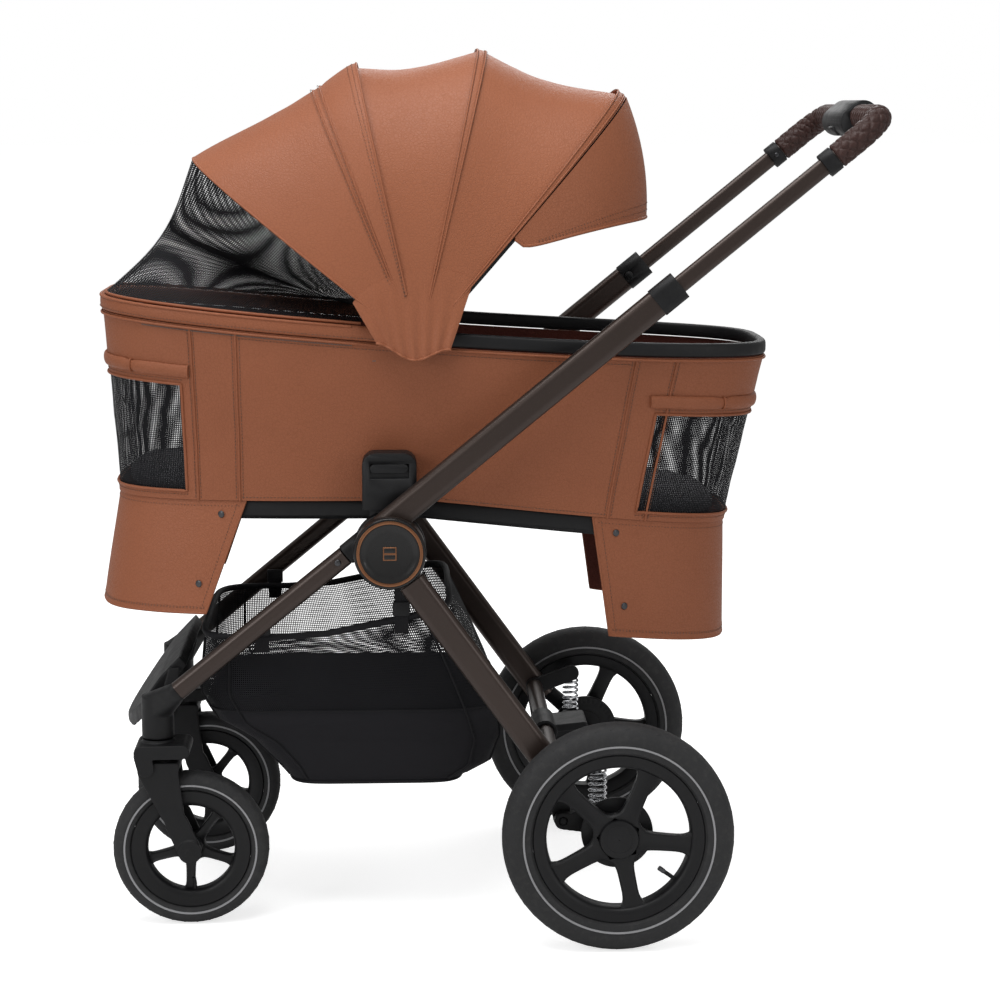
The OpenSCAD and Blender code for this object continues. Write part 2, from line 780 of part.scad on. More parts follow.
module handle_centre() {
    half_l = 26;
    half_h = 19;
    color(black_plastic)
        handle_axes()
            translate([push_bar_at - 3, 0, arm_offset])
                difference() {
                    plate(-centre_half + fit_gap, centre_half - fit_gap)
                        link([half_h - half_l, 0], [half_l - half_h, 0], half_h);
                    translate([3, 0, 0]) disc(bar_r + 0.1, -centre_half - cut, centre_half + cut);
                    translate([-half_l - cut, -16 - fit_gap, -7 - fit_gap])
                        cube([button_in + cut, 32 + 2 * fit_gap, 14 + 2 * fit_gap]);
                }
}
button_travel = 4;
module fold_button() {
    color(black_plastic)
        handle_axes()
            translate([push_bar_at - 3 - 26 - 2, -16, arm_offset - 7])
                cube([button_in + 2 - button_travel - fit_gap, 32, 14]);
}

// Cot
window_low = 0.05;
window_high = 0.66;
front_window_turn = 52.5;
rear_window_turn = 60;
// A strip of the cot's wall between two levels and two turns of its outline
module wall_strip(v0, v1, t0, t1, off_out, off_in, count, levels = 3) {
    skin([for (k = [0:levels]) [for (i = [0:count])
             cot_point(v0 + (v1 - v0) * k / levels, off_out, t0 + (t1 - t0) * i / count)]],
         [for (k = [0:levels]) [for (i = [0:count])
             cot_point(v0 + (v1 - v0) * k / levels, off_in, t0 + (t1 - t0) * i / count)]]);
}
module cot_body() {
    color(tan_leather)
        difference() {
            stack([ring(0, 0, 0), ring(0.5, 0), ring(1, 0), ring(1, -cot_wall),
                   ring(0.5, -cot_wall), ring(0, -cot_wall, cot_wall)]);
            wall_strip(window_low, window_high, 180 - front_window_turn,
                       180 + front_window_turn, 14, -16, 14);
            wall_strip(window_low, window_high, -rear_window_turn, rear_window_turn, 14, -16, 16);
        }
}
module cot_windows() {
    edge = 0.6;
    dv = 0.003;
    color(mesh_grey) {
        wall_strip(window_low + dv, window_high - dv, 180 - front_window_turn + edge,
                   180 + front_window_turn - edge, -1, -cot_wall + 1, 14);
        wall_strip(window_low + dv, window_high - dv, -rear_window_turn + edge,
                   rear_window_turn - edge, -1, -cot_wall + 1, 16);
    }
}
rim_half = 7;
rim_bevel = 3;
function rim_section(t) =
    let (h = rim_h - fit_gap, b = rim_bevel)
    [for (c = [[rim_half, b], [rim_half, h - b], [rim_half - b, h], [b - rim_half, h],
               [-rim_half, h - b], [-rim_half, b], [b - rim_half, 0], [rim_half - b, 0]])
        cot_point(1, c[0] - 4, t, fit_gap + c[1])];
pivot_pin_r = 4;
bow_t = 3.2;
bow_a_y = cot_half_w + 6;
bow_step = 4;
pin_end = bow_a_y + 2.5 * bow_step + 0.4;
module cot_rim() {
    color(black_plastic) {
        rim_ring();
        both() translate([canopy_x, 0, canopy_z])
            disc(14, cot_half_w + 0.5, cot_half_w + 3.5);
        both() translate([canopy_x, 0, canopy_z])
            disc(pivot_pin_r, cot_half_w + 1, pin_end);
    }
}
module rim_ring() {
    n = cot_steps;
    m = 8;
    polyhedron(
        points = [for (i = [0:n - 1]) for (p = rim_section(360 * i / n)) p],
        faces = [for (i = [0:n - 1]) for (j = [0:m - 1])
            [i * m + j, i * m + (j + 1) % m, ((i + 1) % n) * m + (j + 1) % m, ((i + 1) % n) * m + j]]);
}
module cot_base() {
    color(black_plastic)
        stack([ring(0, -base_rail, -base_board), ring(0, -base_rail, -base_t),
               ring(0, -12, -base_t), ring(0, -4, -base_t + 6), ring(0, -4, -fit_gap)]);
}
bracket_half = 34;
bracket_in = cot_half_w - 6;
bracket_top = hub_z + 119;
bracket_low = hub_z + 48;
base_low = 551 - base_t;
lever_half = 24;
lever_h = 12;
lever_travel = 6;
lever_top = bracket_top - 13;
module cot_brackets() {
    foot_t = 6;
    color(black_plastic) both()
        difference() {
            union() {
                translate([hub_x, 0, 0])
                    plate(bracket_in - 1, housing_out)
                        union() {
                            translate([-bracket_half, bracket_low])
                                square([2 * bracket_half, bracket_top - 16 - bracket_low]);
                            translate([-bracket_half + 16, bracket_top - 20])
                                square([2 * bracket_half - 32, 20]);
                            for (e = [-1, 1])
                                translate([e * (bracket_half - 16), bracket_top - 16]) circle(r = 16);
                        }
                translate([hub_x - 25, bracket_in - 1, base_low - fit_gap - foot_t])
                    cube([50, housing_in - 1.5 - bracket_in, bracket_low - base_low + foot_t + 2]);
                translate([hub_x - 25, bracket_in - 32, base_low - fit_gap - foot_t])
                    cube([50, 34, foot_t]);
            }
            translate([hub_x - post_w / 2 - 0.5, post_in - 0.5, bracket_low - cut])
                cube([post_w + 1, post_out - post_in + 1, post_top + 1 - bracket_low + cut]);
            translate([hub_x - lever_half - fit_gap, housing_out - lever_depth,
                       lever_top - lever_h - lever_travel - fit_gap])
                cube([2 * lever_half + 2 * fit_gap, lever_depth + cut,
                      lever_h + lever_travel + 2 * fit_gap]);
        }
}
module release_lever(s) {
    color(black_plastic) side(s)
        translate([hub_x, 0, lever_top - lever_h / 2])
            plate(housing_out - lever_depth + fit_gap, housing_out)
                link([-lever_half + lever_h / 2, 0], [lever_half - lever_h / 2, 0], lever_h / 2);
}
module mattress() {
    gap = cot_wall + 3;
    color(mesh_grey)
        stack([ring(0, -gap - 6, cot_wall + fit_gap), ring(0, -gap, cot_wall + 8),
               ring(0, -gap, cot_wall + mattress_t - 8),
               ring(0, -gap - 8, cot_wall + mattress_t)]);
}
// Skirts hang from the floor's edge round each end
skirt_t = 2.5;
skirt_gap = -3.7;           // just clear of the side of the base
function skirt_point(v, off, t, drop, flare) =
    let (p = cot_plan(0, off + flare * v, t)) [p[0], p[1], floor_z(p[0]) - fit_gap - drop * v];
module skirt(t0, t1, drop, flare, narrow, count) {
    rows = 3;
    skin([for (k = [rows:-1:0]) let (v = k / rows) [for (i = [0:count])
             skirt_point(v, skirt_gap + skirt_t, t0 + narrow * v + (t1 - t0 - 2 * narrow * v) * i / count,
                         drop, flare)]],
         [for (k = [rows:-1:0]) let (v = k / rows) [for (i = [0:count])
             skirt_point(v, skirt_gap, t0 + narrow * v + (t1 - t0 - 2 * narrow * v) * i / count,
                         drop, flare)]]);
}
module cot_skirts() {
    color(tan_leather) {
        skirt(112, 248, 141, 24, 7, 20);
        skirt(-70, 70, 152, 2, 3.8, 20);
    }
}

// Canopy: arches that turn about one pivot. An arch has an angle, a radius and a half width.
arch_n = 2.5;
angle_a = 141.5;
angle_b = 112;
angle_brow = 103.5;
angle_c = 77;
angle_d = 48.6;
function arch(angle, r, w, t) =
    let (u = r * spow(sin(t), 2 / arch_n))
    [canopy_x + u * cos(angle), w * spow(cos(t), 2 / arch_n), canopy_z + u * sin(angle)];
// Cloth between two arches, a = [angle, radius], dipping by sag in between
module cloth(a, b, sag, t0, count, rows) {
    function at(t, k, off) =
        let (f = k / rows,
             g = a[0] + (b[0] - a[0]) * f,
             r = a[1] + (b[1] - a[1]) * f - sag * sin(180 * f) - off)
        arch(g, r, canopy_half_w - off, t);
    skin([for (k = [0:rows]) [for (i = [0:count]) at(t0 + (180 - 2 * t0) * i / count, k, 0)]],
         [for (k = [0:rows]) [for (i = [0:count]) at(t0 + (180 - 2 * t0) * i / count, k, fabric_t)]]);
}
cloth_start = 5;
cloth_gap = 0.15;           // degrees between neighbouring cloths
module canopy_front() {
    color(tan_leather)
        cloth([angle_a - cloth_gap, bow_a_r], [angle_brow + cloth_gap, bow_b_r], 22,
              cloth_start, 22, 4);
}
module canopy_middle() {
    color(tan_leather)
        cloth([angle_brow - cloth_gap, bow_b_r], [angle_c + cloth_gap, bow_c_r], 20,
              cloth_start, 22, 4);
}
module canopy_rear() {
    color(tan_leather)
        cloth([angle_c - cloth_gap, bow_c_r], [angle_d + cloth_gap, bow_d_r], 24,
              cloth_start, 22, 4);
}
mesh_start = 14;
mesh_turn = 92;             // how far round the rim the mesh reaches from the front
mesh_lift = 1.5;            // above the top of the rim
module canopy_mesh() {
    rows = 4;
    count = 24;
    heart = [canopy_x - 150, 0, canopy_z - 20];
    function on_rim(t) =
        let (p = cot_plan(1, -4, 180 - mesh_turn + 2 * mesh_turn * t / 180))
        [p[0], -p[1], rim_z(p[0]) + mesh_lift];
    function at(t, k) =
        let (f = k / rows, a = arch(angle_a + cloth_gap, bow_a_r, canopy_half_w, t), b = on_rim(t))
        a + (b - a) * (1 - f);
    function inside(p) = p + fabric_t * (heart - p) / norm(heart - p);
    turns = [for (i = [0:count]) mesh_start + (180 - 2 * mesh_start) * i / count];
    grid = [for (k = [0:rows]) for (t = turns) at(t, k)];
    n = count + 1;
    o = (rows + 1) * n;
    front = [for (k = [0:rows - 1]) for (j = [0:count - 1])
        let (p = k * n + j) [[p, p + n, p + n + 1], [p, p + n + 1, p + 1]]];
    edge = concat([for (j = [0:count]) j], [for (k = [1:rows]) k * n + count],
                  [for (j = [count - 1:-1:0]) rows * n + j], [for (k = [rows - 1:-1:1]) k * n]);
    last = len(edge) - 1;
    color(mesh_grey)
        polyhedron(
            points = concat(grid, [for (p = grid) inside(p)]),
            faces = concat(
                [for (pair = front) for (f = pair) f],
                [for (pair = front) for (f = pair) [f[0] + o, f[2] + o, f[1] + o]],
                [for (i = [0:last]) let (p = edge[i], q = edge[i < last ? i + 1 : 0]) [p, q, q + o]],
                [for (i = [0:last]) let (p = edge[i], q = edge[i < last ? i + 1 : 0]) [p, q + o, p + o]]));
}
visor_drop = 20.6;
visor_in = 71;
module canopy_visor() {
    t0 = 21;
    rows = 3;
    count = 20;
    function reach(t) = pow(max(0, sin((t - t0) / (180 - 2 * t0) * 180)), 0.45) + 0.03;
    function at(t, k, off) =
        arch(angle_d - cloth_gap - visor_drop * reach(t) * k / rows,
             bow_d_r - visor_in * reach(t) * k / rows - off, canopy_half_w - off, t);
    color(tan_leather)
        skin([for (k = [0:rows]) [for (i = [0:count]) at(t0 + (180 - 2 * t0) * i / count, k, 0)]],
             [for (k = [0:rows]) [for (i = [0:count]) at(t0 + (180 - 2 * t0) * i / count, k, fabric_t)]]);
}
bow_w = 8;
bow_inset = 8.5;
bow_b_inset = 13;           // the second bow lies under the sag of the front cloth
boss_r = 11;
// Flat bow along an arch, from the boss round to the other boss
module bow(angle, r, y) {
    steps = 26;
    reach = r - bow_inset;
    start = boss_r - 3;
    path = concat(
        [[start, y]],
        [for (i = [1:steps - 1])
            let (t = 180 * i / steps) [max(start + i, reach * spow(sin(t), 2 / arch_n)),
                                       y * spow(cos(t), 2 / arch_n)]],
        [[start, -y]]);
    last = len(path) - 1;
    sections = [for (i = [0:last])
        let (d = path[min(i + 1, last)] - path[max(i - 1, 0)],
             m = (i == 0 || i == last) ? [0, i == 0 ? -1 : 1] : [d[1], -d[0]] / norm(d))
        [for (c = [[-1, -1], [1, -1], [1, 1], [-1, 1]])
            let (u = path[i] + m * c[0] * bow_t / 2, n = c[1] * bow_w / 2)
            [canopy_x + u[0] * cos(angle) - n * sin(angle), u[1],
             canopy_z + u[0] * sin(angle) + n * cos(angle)]]];
    sweep(sections);
}
module bow_boss(y) {
    translate([canopy_x, 0, canopy_z])
        difference() {
            disc(boss_r, y - bow_t / 2, y + bow_t / 2);
            disc(pivot_pin_r + run_gap, y - bow_t, y + bow_t);
        }
}
module bows_front() {
    color(black_plastic) {
        bow(angle_a - 1, bow_a_r, bow_a_y);
        bow(angle_b, bow_b_r - bow_b_inset, bow_a_y);
        both() bow_boss(bow_a_y);
    }
}
module bow_middle() {
    color(black_plastic) {
        bow(angle_c, bow_c_r, bow_a_y + bow_step);
        both() bow_boss(bow_a_y + bow_step);
    }
}
module bow_rear() {
    color(black_plastic) {
        bow(angle_d, bow_d_r, bow_a_y + 2 * bow_step);
        both() bow_boss(bow_a_y + 2 * bow_step);
    }
}

front_leg(-1);  // front_leg_left
front_leg(1);  // front_leg_right
hub_housing(-1);  // hub_housing_left
hub_housing(1);  // hub_housing_right
hub_caps();
front_bridge();
swivel_housing(-1);  // swivel_housing_left
swivel_housing(1);  // swivel_housing_right
basket();
rear_leg(-1);  // rear_leg_left
rear_leg(1);  // rear_leg_right
rear_bracket(-1);  // rear_bracket_left
rear_bracket(1);  // rear_bracket_right
rear_cross_tube();
brake_pedal();
rear_arm(-1);  // rear_arm_left
rear_arm(1);  // rear_arm_right
rear_spring(-1);  // rear_spring_left
rear_spring(1);  // rear_spring_right
rear_rim(-1);  // rear_rim_left
rear_rim(1);  // rear_rim_right
rear_tyre(-1);  // rear_tyre_left
rear_tyre(1);  // rear_tyre_right
fork_head(-1);  // fork_head_left
fork_head(1);  // fork_head_right
fork(-1);  // fork_left
fork(1);  // fork_right
fork_pad(-1);  // fork_pad_left
fork_pad(1);  // fork_pad_right
front_rim(-1);  // front_rim_left
front_rim(1);  // front_rim_right
front_tyre(-1);  // front_tyre_left
front_tyre(1);  // front_tyre_right
handle_tube(-1);  // handle_tube_left
handle_tube(1);  // handle_tube_right
handle_collars();
lock_button(-1);  // lock_button_left
lock_button(1);  // lock_button_right
handle_loop();
handle_clamps();
handle_grips();
handle_centre();
fold_button();
cot_body();
cot_rim();
cot_base();
cot_brackets();
release_lever(-1);  // release_lever_left
release_lever(1);  // release_lever_right
mattress();
cot_windows();
cot_skirts();
bows_front();
bow_middle();
bow_rear();
canopy_front();
canopy_middle();
canopy_rear();
canopy_visor();
canopy_mesh();
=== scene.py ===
import json
from math import copysign, cos, degrees, exp, pi, radians, sin

import bmesh
import bpy
import numpy as np
from mathutils import Matrix, Vector, noise

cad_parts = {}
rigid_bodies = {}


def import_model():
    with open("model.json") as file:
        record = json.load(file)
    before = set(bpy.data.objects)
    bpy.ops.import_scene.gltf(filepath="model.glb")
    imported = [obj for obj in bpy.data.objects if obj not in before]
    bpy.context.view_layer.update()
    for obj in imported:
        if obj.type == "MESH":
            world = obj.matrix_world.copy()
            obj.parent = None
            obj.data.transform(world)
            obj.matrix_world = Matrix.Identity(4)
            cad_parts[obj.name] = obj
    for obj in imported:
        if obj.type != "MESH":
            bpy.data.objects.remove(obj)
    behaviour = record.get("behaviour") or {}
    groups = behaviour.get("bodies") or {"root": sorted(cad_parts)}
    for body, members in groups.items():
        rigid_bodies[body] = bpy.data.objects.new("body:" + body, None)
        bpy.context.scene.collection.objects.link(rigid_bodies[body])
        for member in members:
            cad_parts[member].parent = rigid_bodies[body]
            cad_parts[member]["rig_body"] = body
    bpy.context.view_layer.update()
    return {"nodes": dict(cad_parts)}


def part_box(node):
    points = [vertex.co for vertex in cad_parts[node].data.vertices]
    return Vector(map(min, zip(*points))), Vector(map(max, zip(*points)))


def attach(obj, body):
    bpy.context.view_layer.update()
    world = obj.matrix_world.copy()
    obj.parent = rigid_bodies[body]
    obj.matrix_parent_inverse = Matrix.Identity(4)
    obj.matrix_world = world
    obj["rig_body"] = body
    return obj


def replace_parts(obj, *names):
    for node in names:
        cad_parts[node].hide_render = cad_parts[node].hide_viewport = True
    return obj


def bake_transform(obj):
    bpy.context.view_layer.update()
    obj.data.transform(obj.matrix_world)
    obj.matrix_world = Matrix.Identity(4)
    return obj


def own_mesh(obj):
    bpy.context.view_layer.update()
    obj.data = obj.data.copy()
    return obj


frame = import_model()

# Frame tubes: flat-oval aluminium legs and handle arms, sprayed in a brown
# metallic paint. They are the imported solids, with the paint put on them.


def shader_node(tree, kind, **values):
    """Adds a node and sets its inputs or properties; a node socket is linked."""
    node = tree.nodes.new(kind)
    for key, value in values.items():
        name = key.replace("_", " ")
        if hasattr(node, key) and key not in node.inputs:
            setattr(node, key, value)
            continue
        socket = node.inputs[int(key[1:])] if key[1:].isdigit() and key[0] == "i" else node.inputs[name]
        if isinstance(value, bpy.types.NodeSocket):
            tree.links.new(value, socket)
        else:
            socket.default_value = value
    return node


def shared_effect(name, inputs, outputs):
    """Starts a shader node group with named inputs and outputs."""
    tree = bpy.data.node_groups.new(name, "ShaderNodeTree")
    for title, kind, default in inputs:
        made = tree.interface.new_socket(title, in_out="INPUT", socket_type=kind)
        if default is not None:
            made.default_value = default
    for title, kind in outputs:
        tree.interface.new_socket(title, in_out="OUTPUT", socket_type=kind)
    return tree, tree.nodes.new("NodeGroupInput"), tree.nodes.new("NodeGroupOutput")


def ramp(tree, value, stops):
    """Colour ramp from (position, grey or colour) stops."""
    node = shader_node(tree, "ShaderNodeValToRGB", Fac=value)
    while len(node.color_ramp.elements) < len(stops):
        node.color_ramp.elements.new(0.5)
    for element, (at, colour) in zip(node.color_ramp.elements, stops):
        element.position = at
        element.color = (colour,) * 3 + (1,) if not hasattr(colour, "__len__") else tuple(colour) + (1,)
    return node.outputs["Color"]


def mix(tree, factor, a, b):
    """Mixes two colours."""
    node = tree.nodes.new("ShaderNodeMix")
    node.data_type = "RGBA"
    for socket, value in ((node.inputs[0], factor), (node.inputs[6], a), (node.inputs[7], b)):
        if isinstance(value, bpy.types.NodeSocket):
            tree.links.new(value, socket)
        elif hasattr(value, "__len__"):
            socket.default_value = tuple(value)[:3] + (1,)
        else:
            socket.default_value = value if socket == node.inputs[0] else (value,) * 3 + (1,)
    return node.outputs[2]


def shared(tree, group, **values):
    """Places a shared effect in a material with its own values."""
    node = tree.nodes.new("ShaderNodeGroup")
    node.node_tree = group
    for key, value in values.items():
        socket = node.inputs[key.replace("_", " ")]
        if isinstance(value, bpy.types.NodeSocket):
            tree.links.new(value, socket)
        else:
            socket.default_value = value
    return node


def finish(name, cloud, **constants):
    """A new material: its tree, its Principled shader, its Object coordinates and their slow shade changes."""
    material = bpy.data.materials.new(name)
    material.use_nodes = True
    tree = material.node_tree
    shader = tree.nodes["Principled BSDF"]
    for key, value in constants.items():
        socket = shader.inputs[key.replace("_", " ")]
        socket.default_value = tuple(value) + (1,) if hasattr(value, "__len__") else value
    place = tree.nodes.new("ShaderNodeTexCoord").outputs["Object"]
    return material, tree, shader, place, shared(tree, handling_shade, Vector=place, Scale=cloud)


def feed(shader, **values):
    """Links what changes over a surface into the shader's inputs."""
    for key, value in values.items():
        shader.id_data.links.new(value, shader.inputs[key.replace("_", " ")])


def relief(tree, shader, height, strength, distance):
    """Bump from a height into the shader's normal."""
    feed(shader, Normal=shader_node(tree, "ShaderNodeBump", Height=height, Strength=strength,
                                    Distance=distance).outputs[0])


def cloudy_effect():
    """Slow shade changes over a surface, with finer blotches inside them."""
    tree, given, out = shared_effect(
        "handling_shade",
        [("Vector", "NodeSocketVector", None), ("Scale", "NodeSocketFloat", 8.0)],
        [("Shade", "NodeSocketFloat"), ("Fine", "NodeSocketFloat")])
    slow = shader_node(tree, "ShaderNodeTexNoise", Vector=given.outputs[0], Scale=given.outputs[1], Detail=3.0)
    finer = shader_node(tree, "ShaderNodeMath", operation="MULTIPLY", i0=given.outputs[1], i1=9.0)
    fine = shader_node(tree, "ShaderNodeTexNoise", Vector=given.outputs[0], Scale=finer.outputs[0], Detail=4.0)
    tree.links.new(slow.outputs[0], out.inputs[0])
    tree.links.new(fine.outputs[0], out.inputs[1])
    return tree


def edge_effect():
    """Lighter colour along convex edges, broken up by noise."""
    tree, given, out = shared_effect(
        "rubbed_edges",
        [("Vector", "NodeSocketVector", None), ("Amount", "NodeSocketFloat", 0.5)],
        [("Mask", "NodeSocketFloat")])
    shape = tree.nodes.new("ShaderNodeNewGeometry")
    sharp = shader_node(tree, "ShaderNodeMapRange", Value=shape.outputs["Pointiness"])
    sharp.inputs[1].default_value, sharp.inputs[2].default_value = 0.52, 0.62
    broken = shader_node(tree, "ShaderNodeTexNoise", Vector=given.outputs[0], Scale=90.0, Detail=5.0)
    cut = shader_node(tree, "ShaderNodeMapRange", Value=broken.outputs[0])
    cut.inputs[1].default_value, cut.inputs[2].default_value = 0.35, 0.65
    both = shader_node(tree, "ShaderNodeMath", operation="MULTIPLY", i0=sharp.outputs[0], i1=cut.outputs[0])
    most = shader_node(tree, "ShaderNodeMath", operation="MULTIPLY", i0=both.outputs[0], i1=given.outputs[1])
    tree.links.new(most.outputs[0], out.inputs[0])
    return tree


handling_shade = cloudy_effect()
rubbed_edges = edge_effect()


def tube_paint():
    """Brown metallic paint: fine flakes under a satin clear coat."""
    material, tree, shader, place, shade = finish(
        "brown_metallic_paint", 6.0, Metallic=0.6, Roughness=0.38,
                                                  Coat_Weight=0.25, Coat_Roughness=0.25)
    flake = shader_node(tree, "ShaderNodeTexVoronoi", Vector=place, Scale=1400.0)
    base = mix(tree, shade.outputs[0], (0.040, 0.026, 0.021), (0.046, 0.031, 0.025))
    spark = mix(tree, ramp(tree, flake.outputs["Color"], [(0.85, 0.0), (0.98, 0.18)]), base, (0.16, 0.12, 0.10))
    feed(shader, Base_Color=spark)
    feed(shader, Roughness=ramp(tree, shade.outputs[1], [(0.3, 0.34), (0.7, 0.38)]))
    relief(tree, shader, flake.outputs["Distance"], 0.08, 0.0002)
    return material


brown_paint = tube_paint()


def coat_node(node, material):
    """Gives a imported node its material."""
    solid = frame["nodes"][node]
    solid.data.materials.clear()
    solid.data.materials.append(material)


for node in ("front_leg_left", "front_leg_right", "rear_leg_left", "rear_leg_right",
             "rear_cross_tube", "handle_tube_left", "handle_tube_right", "handle_loop"):
    coat_node(node, brown_paint)

# Moulded plastic joints of the frame: hub housings, bridge, swivel housings,
# brackets, arms, forks and clamps. Black glass-filled nylon with a fine spark
# texture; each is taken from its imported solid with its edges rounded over.


def moulded_plastic(name, colour, rough, grain=2200.0, depth=0.00018, coat=0.0):
    """Injection-moulded plastic with a fine eroded texture and a lighter colour along its convex edges."""
    material, tree, shader, place, shade = finish(name, 9.0, Roughness=rough, Specular_IOR_Level=0.3, Coat_Weight=coat)
    edge = shared(tree, rubbed_edges, Vector=place, Amount=0.2)
    base = mix(tree, shade.outputs[0], [c * 0.8 for c in colour], [c * 1.25 for c in colour])
    # The colour is lighter along convex edges.
    edge_lightened = mix(tree, edge.outputs[0], base, [min(1, c * 3 + 0.012) for c in colour])
    feed(shader, Base_Color=edge_lightened)
    feed(shader, Roughness=ramp(tree, shade.outputs[1], [(0.3, rough - 0.05), (0.7, rough + 0.08)]))
    pits = shader_node(tree, "ShaderNodeTexNoise", Vector=place, Scale=grain, Detail=2.0)
    relief(tree, shader, pits.outputs[0], 0.35, depth)
    return material


black_nylon = moulded_plastic("black_nylon", (0.0055, 0.0055, 0.0062), 0.5)
satin_nylon = moulded_plastic("satin_wheel_nylon", (0.0045, 0.0045, 0.0052), 0.42, 1500.0, 0.0001)


MM = 0.001


def set_out(name, content):
    """A new object in the scene for a mesh, lamp or lens."""
    piece = bpy.data.objects.new(name, content)
    bpy.context.scene.collection.objects.link(piece)
    return piece


def add_piece(name, points, faces, material, body=None, crisp=None, smooth=True):
    """A mesh piece from points in millimetres, with crisp edges above an angle, on its body."""
    mesh = bpy.data.meshes.new(name)
    mesh.from_pydata([[c * MM for c in p] for p in points], [], faces)
    mesh.materials.append(material)
    mesh.validate()
    mesh.polygons.foreach_set("use_smooth", [smooth] * len(mesh.polygons))
    piece = set_out(name, mesh)
    if crisp:
        recalculate(mesh)
        soften(piece, crisp)
    if body:
        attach(piece, body)
    return piece


def apply_modifiers(piece):
    """Turns a piece and its modifiers into one plain mesh."""
    graph = bpy.context.evaluated_depsgraph_get()
    graph.update()
    old = piece.data
    piece.data = bpy.data.meshes.new_from_object(piece.evaluated_get(graph))
    piece.modifiers.clear()
    piece.data.name = piece.name
    if old.users == 0:
        bpy.data.meshes.remove(old)
    return piece


def recalculate(mesh):
    """Merges doubles and points the faces outwards."""
    work = bmesh.new()
    work.from_mesh(mesh)
    bmesh.ops.remove_doubles(work, verts=work.verts, dist=1e-6)
    bmesh.ops.recalc_face_normals(work, faces=work.faces)
    work.to_mesh(mesh)
    work.free()


def taken_from(node, ending, material):
    """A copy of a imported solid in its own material, to be finished further."""
    piece = set_out(node + ending, frame["nodes"][node].data.copy())
    piece.data.materials.clear()
    piece.data.materials.append(material)
    return piece


def stands_in(piece, node):
    """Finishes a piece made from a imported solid, and puts it in that solid's place."""
    apply_modifiers(piece)
    piece.data.polygons.foreach_set("use_smooth", [True] * len(piece.data.polygons))
    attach(piece, frame["nodes"][node]["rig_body"])
    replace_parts(piece, node)


def rounded_from(node, material, voxel):
    """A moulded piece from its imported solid, its edges rounded as a mould's are."""
    piece = taken_from(node, "_moulded", material)
    recalculate(piece.data)
    skin = piece.modifiers.new("skin", "REMESH")
    skin.mode = "VOXEL"
    skin.voxel_size = voxel * MM
    skin.use_smooth_shade = True
    ease = piece.modifiers.new("ease", "SMOOTH")
    ease.factor = 0.5
    ease.iterations = 6
    stands_in(piece, node)


MOULDED = {"front_bridge": 1.6, "swivel_housing": 1.0, "fork": 1.1, "fork_head": 1.0, "rear_arm": 1.0,
           "rear_bracket": 1.1, "hub_housing": 1.3, "brake_pedal": 0.9}
for stem, voxel in MOULDED.items():
    for node in (stem, stem + "_left", stem + "_right"):
        if node in frame["nodes"]:
            rounded_from(node, black_nylon, voxel)


def bevelled_from(node, material, width):
    """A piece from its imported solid, with small bevels on its sharp edges."""
    piece = taken_from(node, "_bevelled", material)
    work = bmesh.new()
    work.from_mesh(piece.data)
    bmesh.ops.remove_doubles(work, verts=work.verts, dist=1e-6)
    bmesh.ops.dissolve_limit(work, angle_limit=radians(1), verts=work.verts, edges=work.edges)
    work.to_mesh(piece.data)
    work.free()
    bevel = piece.modifiers.new("bevel", "BEVEL")
    bevel.width = width * MM
    bevel.segments = 2
    bevel.limit_method = "ANGLE"
    bevel.angle_limit = radians(35)
    bevel.harden_normals = True
    stands_in(piece, node)


for node in ("cot_brackets", "handle_collars", "handle_clamps", "handle_centre", "fold_button", "lock_button_left",
             "lock_button_right", "release_lever_left", "release_lever_right"):
    bevelled_from(node, black_nylon, 0.8)

# Hub caps: a turned dish with a copper-anodised ring let into its rim and a
# square plate in the middle. Pressed over the end of each folding pin.


def ring_faces(rings, sides, closed=False, caps=True):
    """Faces between neighbouring rings of points, and over the first and last ring."""
    faces = []
    for i in range(rings if closed else rings - 1):
        after = (i + 1) % rings
        faces += [(i * sides + k, i * sides + (k + 1) % sides, after * sides + (k + 1) % sides, after * sides + k)
                  for k in range(sides)]
    if caps and not closed:
        faces += [tuple(reversed(range(sides))), tuple((rings - 1) * sides + k for k in range(sides))]
    return faces


def turned(name, outline, centre, side, material, body, turns=96):
    """A turned piece: (radius, distance outwards) points about a crosswise axis."""
    points = []
    for i in range(turns):
        a = 2 * pi * i / turns
        points += [(centre[0] + r * cos(a), side * y, centre[1] + r * sin(a)) for r, y in outline]
    return add_piece(name, points, ring_faces(turns, len(outline), closed=True), material, body, 40)


def soften(piece, angle):
    """Smooth shading with crisp edges above an angle."""
    work = bmesh.new()
    work.from_mesh(piece.data)
    for edge in work.edges:
        edge.smooth = not (edge.is_manifold and edge.calc_face_angle(0) > radians(angle))
    for face in work.faces:
        face.smooth = True
    work.to_mesh(piece.data)
    work.free()


def from_work(name, work, material, angle):
    """A piece from a mesh being edited, smooth with crisp edges above an angle."""
    mesh = bpy.data.meshes.new(name)
    work.to_mesh(mesh)
    work.free()
    mesh.materials.append(material)
    piece = set_out(name, mesh)
    soften(piece, angle)
    return piece


def block(name, boxes, material, body, bevel, segments=3):
    """Small rounded blocks in one mesh: (low corner, high corner) in millimetres."""
    work = bmesh.new()
    for low, high in boxes:
        made = bmesh.ops.create_cube(work, size=1)["verts"]
        for vert in made:
            vert.co = Vector([((a + b) / 2 + v * (b - a)) * MM for a, b, v in zip(low, high, vert.co)])
    bmesh.ops.bevel(work, geom=work.edges[:], offset=bevel * MM, segments=segments, affect="EDGES", profile=0.5)
    piece = from_work(name, work, material, 50)
    if body:
        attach(piece, body)
    return piece


